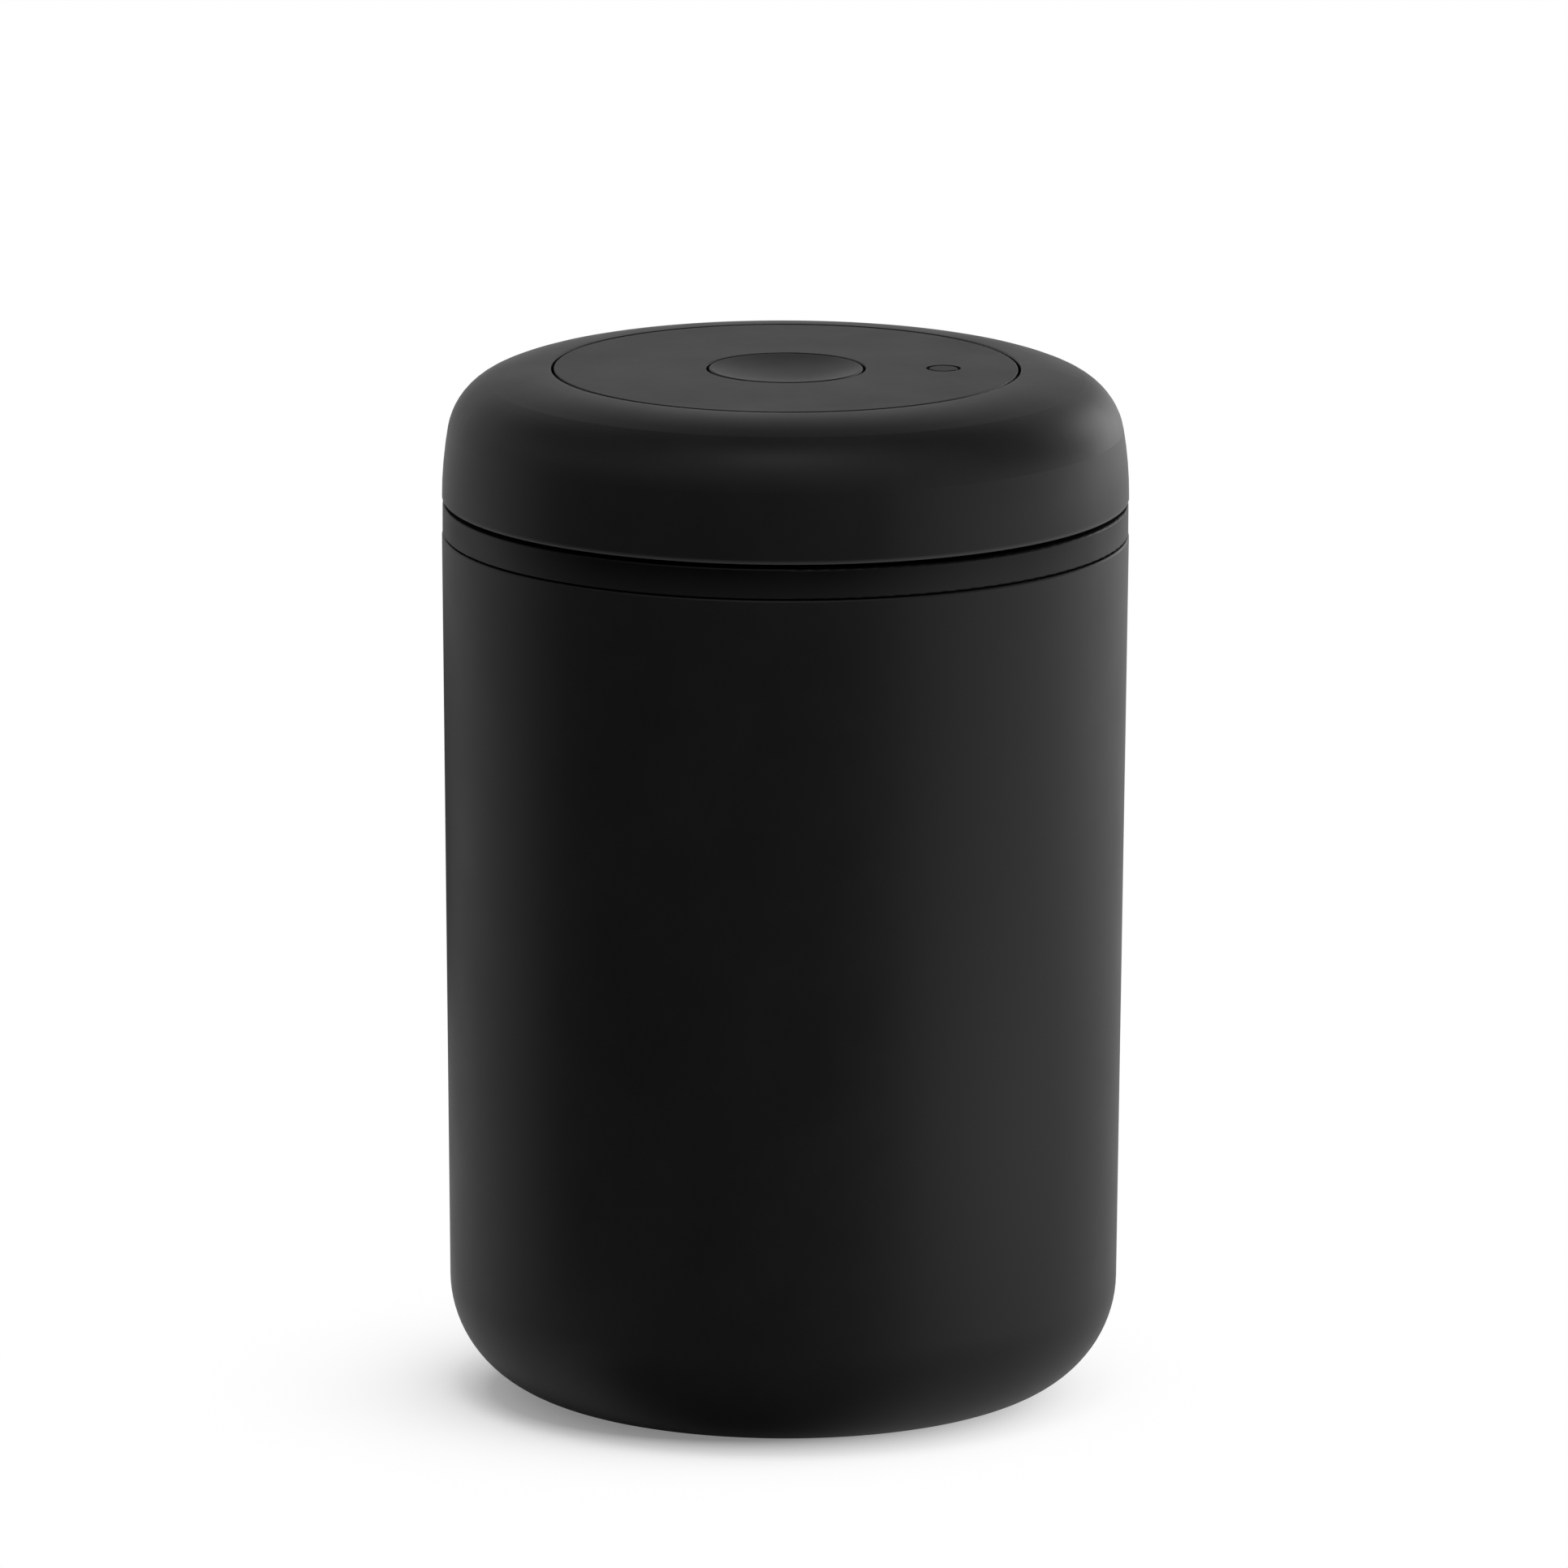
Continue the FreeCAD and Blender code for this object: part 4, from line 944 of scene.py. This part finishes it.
@dataclass
class Lid(SubAssembly):
    """Static part of the lid: pan with its collar, gasket, pump cylinder, frame, top disc and springs."""

    body: Body = Body.LID
    gasket_depth_mm: float = 2.2
    lip_reach_mm: float = 1.0
    lip_lift_mm: float = 0.8
    lip_tip_mm: float = 0.22
    lip_root_mm: float = 0.45
    lip_count: int = 3
    lip_steps: int = 6
    segments: int = 288

    # A lip starts at this share of its pitch, and its round tip turns this far to both sides.
    LIP_START: ClassVar[float] = 0.25
    TIP_DEG: ClassVar[float] = 60.0

    def build(self) -> list[bpy.types.Object]:
        """Make the gasket and the two springs.

        Returns:
            The three pieces.
        """
        springs = (
            ReturnSpring(
                "button_return_spring", "button_spring", "button_press", turns=6, wire_radius_mm=0.4,
            ),
            ReturnSpring(
                "indicator_return_spring", "indicator_spring", "indicator_drop", turns=5, wire_radius_mm=0.25,
            ),
        )
        return [self.build_gasket()] + [
            self.take_place(spring.build(), spring.node, Slot.SPRING_STEEL) for spring in springs
        ]

    def build_gasket(self) -> bpy.types.Object:
        """Turn the gasket: a band with thin curved lips that bend against the steel wall.

        Returns:
            The gasket's object.
        """
        low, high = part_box("lid_gasket")
        bottom = low.z / MM
        top = high.z / MM
        outer = high.x / MM
        band = outer - self.lip_reach_mm
        inner = outer - self.gasket_depth_mm
        tip = self.lip_tip_mm
        tip_x = outer - tip
        pitch = (top - bottom) / self.lip_count
        shares = [step / self.lip_steps for step in range(self.lip_steps + 1)]
        section = [(inner, bottom), (band, bottom)]
        for lip in range(self.lip_count):
            root = bottom + pitch * (lip + self.LIP_START)
            under = [
                (band + (tip_x - band) * share, root + self.lip_lift_mm * share ** 2) for share in shares
            ]
            over = [
                (radius, level + 2 * tip + self.lip_root_mm * (1 - share) ** 2)
                for share, (radius, level) in zip(shares, under)
            ]
            tip_arc = arc(
                (tip_x, root + self.lip_lift_mm + tip), tip, -self.TIP_DEG, self.TIP_DEG, self.lip_steps,
            )
            section += under + tip_arc + over[::-1]
        section += [(band, top), (inner, top), (inner, bottom)]
        gasket = turned("lid_gasket_lips", [Stretch(section, GASKET_SILICONE)], self.segments)
        return self.take_place(gasket, "lid_gasket", Slot.GREY_SILICONE)


@dataclass
class ReturnSpring:
    """A wound spring with closed ends."""

    name: str
    node: str
    joint: str
    turns: int
    wire_radius_mm: float
    steps_per_turn: int = 32
    sides: int = 10
    closed_turns: float = 0.8

    def build(self) -> bpy.types.Object:
        """Wind the spring in the space of its node.

        Returns:
            The spring's object.
        """
        low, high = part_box(self.node)
        axis = Vector(((low.x + high.x) / 2, (low.y + high.y) / 2, 0.0))
        coil = (high.x - low.x) / 2 - self.wire_radius_mm * MM
        bottom = low.z + self.wire_radius_mm * MM
        top = high.z - self.wire_radius_mm * MM
        line = []
        for step in range(self.turns * self.steps_per_turn + 1):
            turn = step / self.steps_per_turn
            angle = math.tau * turn
            height = bottom + (top - bottom) * self.rise(turn)
            line.append(axis + Vector((coil * math.cos(angle), coil * math.sin(angle), height)))
        vertices, faces = tube(line, self.wire_radius_mm, self.sides, 0)
        spring = new_object(self.name, vertices, faces)
        spring.data.materials.append(SPRING_STEEL.material())
        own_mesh(spring)
        return spring

    def rise(self, turn: float) -> float:
        """The share of the spring's height reached after a number of turns, with flatter end turns.

        Args:
            turn: the number of turns from the lower end.

        Returns:
            The share, from 0 to 1.
        """
        share = turn / self.turns
        ease = self.closed_turns / self.turns
        return share - ease / math.tau * math.sin(math.tau * share)


@dataclass
class TwistDome(SubAssembly):
    """Outer ring of the lid that the hand turns, with its cam drum."""

    body: Body = Body.DOME


@dataclass
class Piston(SubAssembly):
    """Annular piston with its seals, valve and pins."""

    body: Body = Body.PISTON


@dataclass
class ReleaseButton(SubAssembly):
    """Dished button with its stem and poppet."""

    body: Body = Body.BUTTON


@dataclass
class VacuumIndicator(SubAssembly):
    """Small flush pin that drops when there is vacuum, on a membrane that folds under it."""

    body: Body = Body.INDICATOR
    membrane_rim_mm: float = 1.3
    fold_mm: float = 0.9
    web_inset_mm: float = 0.2
    fold_steps: int = 6
    sectors: int = 8
    sector_steps: int = 6

    def build(self) -> list[bpy.types.Object]:
        """Turn the membrane: a rim that the lid holds, a thin fold and a stiff middle under the pin.

        It is made in sectors.

        Returns:
            The sectors.
        """
        low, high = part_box("indicator_diaphragm")
        axis = (low + high) / 2
        outer = (high.x - low.x) / MM / 2
        half = (high.z - low.z) / MM / 2
        web = half - self.web_inset_mm
        hinge = outer - self.membrane_rim_mm
        middle = hinge - self.fold_mm
        fold = [middle + self.fold_mm * step / self.fold_steps for step in range(self.fold_steps + 1)]
        section = [(0.0, -half), (middle, -half)]
        section += [(radius, -web) for radius in fold]
        section += [(hinge, -half), (outer, -half), (outer, half), (hinge, half)]
        section += [(radius, web) for radius in reversed(fold)]
        section += [(middle, half), (0.0, half)]
        sweep_deg = 360.0 / self.sectors
        pieces = []
        for sector in range(self.sectors):
            piece = turned(
                f"indicator_membrane_{sector + 1}", [Stretch(section, VALVE_SILICONE)], self.sector_steps,
                sector * sweep_deg, sweep_deg,
            )
            piece.location = axis
            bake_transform(piece)
            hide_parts("indicator_diaphragm")
            pieces.append(piece)
        return pieces


@dataclass
class FilterBasket(SubAssembly):
    """Slotted cap under the lid, with a disc of woven wire in a rolled rim."""

    body: Body = Body.FILTER
    # The real cloth has about 0.3 mm between its wires. It is drawn coarser, so that the weave shows.
    pitch_mm: float = 0.9
    wire_radius_mm: float = 0.12
    rim_mm: float = 0.9
    steps_per_pitch: int = 3
    sides: int = 6
    rim_segments: int = 160
    rim_steps: int = 8

    def build(self) -> list[bpy.types.Object]:
        """Make the woven disc and its rim."""
        return [self.build_weave(), self.build_rim()]

    def build_weave(self) -> bpy.types.Object:
        """Weave wires over and under each other, cut to a circle.

        Returns:
            The woven disc's object.
        """
        low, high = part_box("filter_mesh")
        reach = high.x / MM - self.rim_mm / 2
        level = (low.z + high.z) / 2
        wave = (high.z - low.z) / 2 - self.wire_radius_mm * MM
        vertices: list[Vector] = []
        faces: list[tuple[int, ...]] = []
        rows = int(reach / self.pitch_mm)
        for row in range(-rows, rows + 1):
            offset = row * self.pitch_mm
            half = math.sqrt(reach ** 2 - offset ** 2)
            steps = max(2, round(2 * half / self.pitch_mm * self.steps_per_pitch))
            for lengthwise in (True, False):
                line = []
                for step in range(steps + 1):
                    along = -half + 2 * half * step / steps
                    over = wave * math.cos(math.pi * (along / self.pitch_mm + row))
                    if lengthwise:
                        line.append(Vector((along * MM, offset * MM, level + over)))
                    else:
                        line.append(Vector((offset * MM, along * MM, level - over)))
                more_vertices, more_faces = tube(line, self.wire_radius_mm, self.sides, len(vertices))
                vertices += more_vertices
                faces += more_faces
        weave = new_object("filter_weave", vertices, faces, crease_deg=60.0)
        weave.data.materials.append(WEAVE_STEEL.material())
        return self.take_place(weave, "filter_mesh", Slot.MESH_STEEL)

    def build_rim(self) -> bpy.types.Object:
        """Turn the rolled rim that binds the wire ends.

        Returns:
            The rim's object.
        """
        low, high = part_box("filter_mesh")
        half = (high.z - low.z) / MM / 2
        level = (low.z + high.z) / MM / 2
        outer = high.x / MM
        section = arc((outer - half, level), half, -90.0, 90.0, self.rim_steps)
        section += arc((outer - self.rim_mm + half, level), half, 90.0, 270.0, self.rim_steps)
        section.append(section[0])
        rim = turned("filter_weave_rim", [Stretch(section, WEAVE_STEEL)], self.rim_segments)
        return self.take_place(rim, None, Slot.MESH_STEEL)


@dataclass(frozen=True)
class SoftBox:
    """A flat diffuser that faces the object. A glow of 1 is as bright as white paper in the picture.

    One that isn't mirrored gives light, but no surface shows it. Sizes and places are in metres.
    """

    name: str
    centre: tuple[float, float, float]
    width: float
    height: float
    glow: float
    mirrored: bool = True

    def light(self, target: Vector) -> bpy.types.Object:
        """Hang the soft box.

        Args:
            target: the point that it faces.

        Returns:
            The light's object.
        """
        lamp = bpy.data.lights.new(self.name, "AREA")
        lamp.shape = "RECTANGLE"
        lamp.size = self.width
        lamp.size_y = self.height
        lamp.energy = self.glow * math.pi * self.width * self.height
        holder = bpy.data.objects.new(self.name, lamp)
        holder.location = self.centre
        holder.rotation_euler = (Vector(self.centre) - target).to_track_quat("Z", "Y").to_euler()
        holder.visible_camera = False
        holder.visible_glossy = self.mirrored
        bpy.context.scene.collection.objects.link(holder)
        return holder


@dataclass(frozen=True)
class BlackFlag:
    """A black card outside the picture.

    It keeps the white room out of what the dark surfaces mirror, and does nothing else. Sizes are in metres.
    """

    name: str

    def card(
        self, vertices: Sequence[Sequence[float]], faces: Sequence[Sequence[int]], finish: Finish,
    ) -> bpy.types.Object:
        """Make the card from its mesh, and let only mirrored rays meet it.

        Args:
            vertices: points in metres.
            faces: corner numbers of each face.
            finish: what the card is made of.

        Returns:
            The card's object.
        """
        card = new_object(self.name, vertices, faces)
        card.data.materials.append(finish.material())
        card.visible_camera = False
        card.visible_diffuse = False
        card.visible_transmission = False
        card.visible_shadow = False
        return card

    def place(self) -> bpy.types.Object:
        """Put the card in its place."""
        raise NotImplementedError


@dataclass(frozen=True)
class ArcFlag(BlackFlag):
    """A card between two arcs round the object: upright if they share a radius, flat if they share a level.

    Each edge is a radius and a level. Angles are from the front, and grow to the right.
    """

    near: Point
    far: Point
    left_deg: float
    right_deg: float
    finish: Finish = FLAG_VELVET
    steps: int = 24

    def place(self) -> bpy.types.Object:
        """Bend the card round the object.

        Returns:
            The card's object.
        """
        vertices = []
        for step in range(self.steps + 1):
            angle = math.radians(self.left_deg + (self.right_deg - self.left_deg) * step / self.steps)
            for radius, level in (self.near, self.far):
                vertices.append((radius * math.sin(angle), -radius * math.cos(angle), level))
        faces = [(2 * step, 2 * step + 1, 2 * step + 3, 2 * step + 2) for step in range(self.steps)]
        return self.card(vertices, faces, self.finish)


@dataclass(frozen=True)
class HangingFlag(BlackFlag):
    """A flat card that hangs level over the object."""

    level: float = 1.95
    left: float = -2.6
    right: float = 4.5
    front: float = -0.5
    back: float = 1.9

    def place(self) -> bpy.types.Object:
        """Hang the card.

        Returns:
            The card's object.
        """
        corners = [
            (self.left, self.front, self.level),
            (self.right, self.front, self.level),
            (self.right, self.back, self.level),
            (self.left, self.back, self.level),
        ]
        return self.card(corners, [(0, 1, 2, 3)], FLAG_VELVET)


@dataclass
class Studio:
    """White paper floor, soft boxes, black flags and a room that is white to look at and dim as a light."""

    floor_half: float = 20.0
    floor_drop_mm: float = 0.05
    room_light: float = 0.58
    # The front flag keeps the body's front dark, and the net gives the dark crescent low on it. The left flag
    # trims the pale left edge near the floor, and the ceiling flag the dome's shoulder.
    flags: tuple[BlackFlag, ...] = (
        ArcFlag("front_flag", (0.12, 0.0), (0.12, 0.2), -71.0, 28.0),
        ArcFlag("foot_net", (0.041, 0.0005), (0.126, 0.0005), -56.0, 40.0, FOOT_NET),
        ArcFlag("left_flag", (0.3, 0.0), (0.3, 0.09), -165.0, -138.0),
        HangingFlag("ceiling_flag"),
    )
    # The front box lights the disc and the shoulder, the three on the right give the pale right flank, and
    # the last one throws the shadow to the left.
    boxes: tuple[SoftBox, ...] = (
        SoftBox("front_top_box", (0.0, -0.42, 1.2), 0.36, 0.42, 6.5),
        SoftBox("right_strip", (0.9, 0.0, 0.075), 1.6, 0.13, 4.9),
        SoftBox("right_back_box", (0.8, 1.05, 0.34), 0.5, 0.6, 4.2),
        SoftBox("right_low_box", (0.2, -0.1, 0.008), 0.2, 0.014, 8.0),
        SoftBox("shadow_box", (0.8, -0.1, 1.0), 1.0, 1.0, 1.8, mirrored=False),
    )

    def light(self, target: Vector) -> None:
        """Set the lights and the room round the object.

        Args:
            target: the point that the soft boxes face.
        """
        for box in self.boxes:
            box.light(target)
            log.info("light %s", box.name)
        self.lay_room()
        self.lay_floor()
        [flag.place() for flag in self.flags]

    def lay_room(self) -> None:
        """A white room that gives only a dim, even light."""
        world = bpy.data.worlds.new("studio_room")
        bpy.context.scene.world = world
        world.use_nodes = True
        world.cycles.sampling_method = "NONE"
        tree = world.node_tree
        tree.nodes.clear()
        dim = add_node(
            tree, "ShaderNodeBackground", {"Color": linear("#ffffff"), "Strength": self.room_light},
        )
        white = add_node(tree, "ShaderNodeBackground", {"Color": linear("#ffffff"), "Strength": 1.0})
        mix = add_node(
            tree, "ShaderNodeMixShader",
            links={0: looked_at(tree, *Sight), 1: dim.outputs[0], 2: white.outputs[0]},
        )
        add_node(tree, "ShaderNodeOutputWorld", links={"Surface": mix.outputs[0]})

    def lay_floor(self) -> bpy.types.Object:
        """Lay the sheet of paper that the object stands on.

        Returns:
            The floor's object.
        """
        half = self.floor_half
        level = -self.floor_drop_mm * MM
        corners = [(-half, -half, level), (half, -half, level), (half, half, level), (-half, half, level)]
        floor = new_object("paper_floor", corners, [(0, 1, 2, 3)])
        paper = FLOOR_PAPER.material()
        paper.cycles.emission_sampling = "NONE"
        floor.data.materials.append(paper)
        return floor


@dataclass
class ProductCamera:
    """A long lens far away, a little above the lid."""

    distance: float = 3.0
    elevation_deg: float = 12.216
    focal_mm: float = 399.7
    sensor_mm: float = 36.0
    target_mm: tuple[float, float, float] = (-0.12, 0.0, 106.37)
    roll_deg: float = 0.17

    def place(self) -> bpy.types.Object:
        """Stand the camera in front of the object and look at the target.

        Returns:
            The camera's object.
        """
        lens = bpy.data.cameras.new("product_camera")
        lens.lens = self.focal_mm
        lens.sensor_width = self.sensor_mm
        lens.clip_end = 100.0
        target = Vector(self.target_mm) * MM
        tilt = math.radians(self.elevation_deg)
        back = Vector((0.0, -math.cos(tilt), math.sin(tilt)))
        camera = bpy.data.objects.new("product_camera", lens)
        camera.location = target + back * self.distance
        roll = Quaternion((0.0, 0.0, 1.0), math.radians(self.roll_deg))
        camera.rotation_euler = (back.to_track_quat("Z", "Y") @ roll).to_euler()
        bpy.context.scene.collection.objects.link(camera)
        bpy.context.scene.camera = camera
        return camera


def main() -> None:
    """Build and dress every sub-assembly, then set the studio and the camera."""
    assemblies = (
        Canister(), Lid(), TwistDome(), Piston(), ReleaseButton(), VacuumIndicator(), FilterBasket(),
    )
    for assembly in assemblies:
        for name in assembly.dress():
            log.info("%s: dressed %s", assembly.body.value, name)
        for piece in assembly.build():
            log.info("%s: built %s, %d faces", assembly.body.value, piece.name, len(piece.data.polygons))
    low, high = cad_box
    Studio().light((low + high) / 2)
    ProductCamera().place()
    bpy.context.scene.view_settings.view_transform = "Standard"


if __name__ == "__main__":
    main()
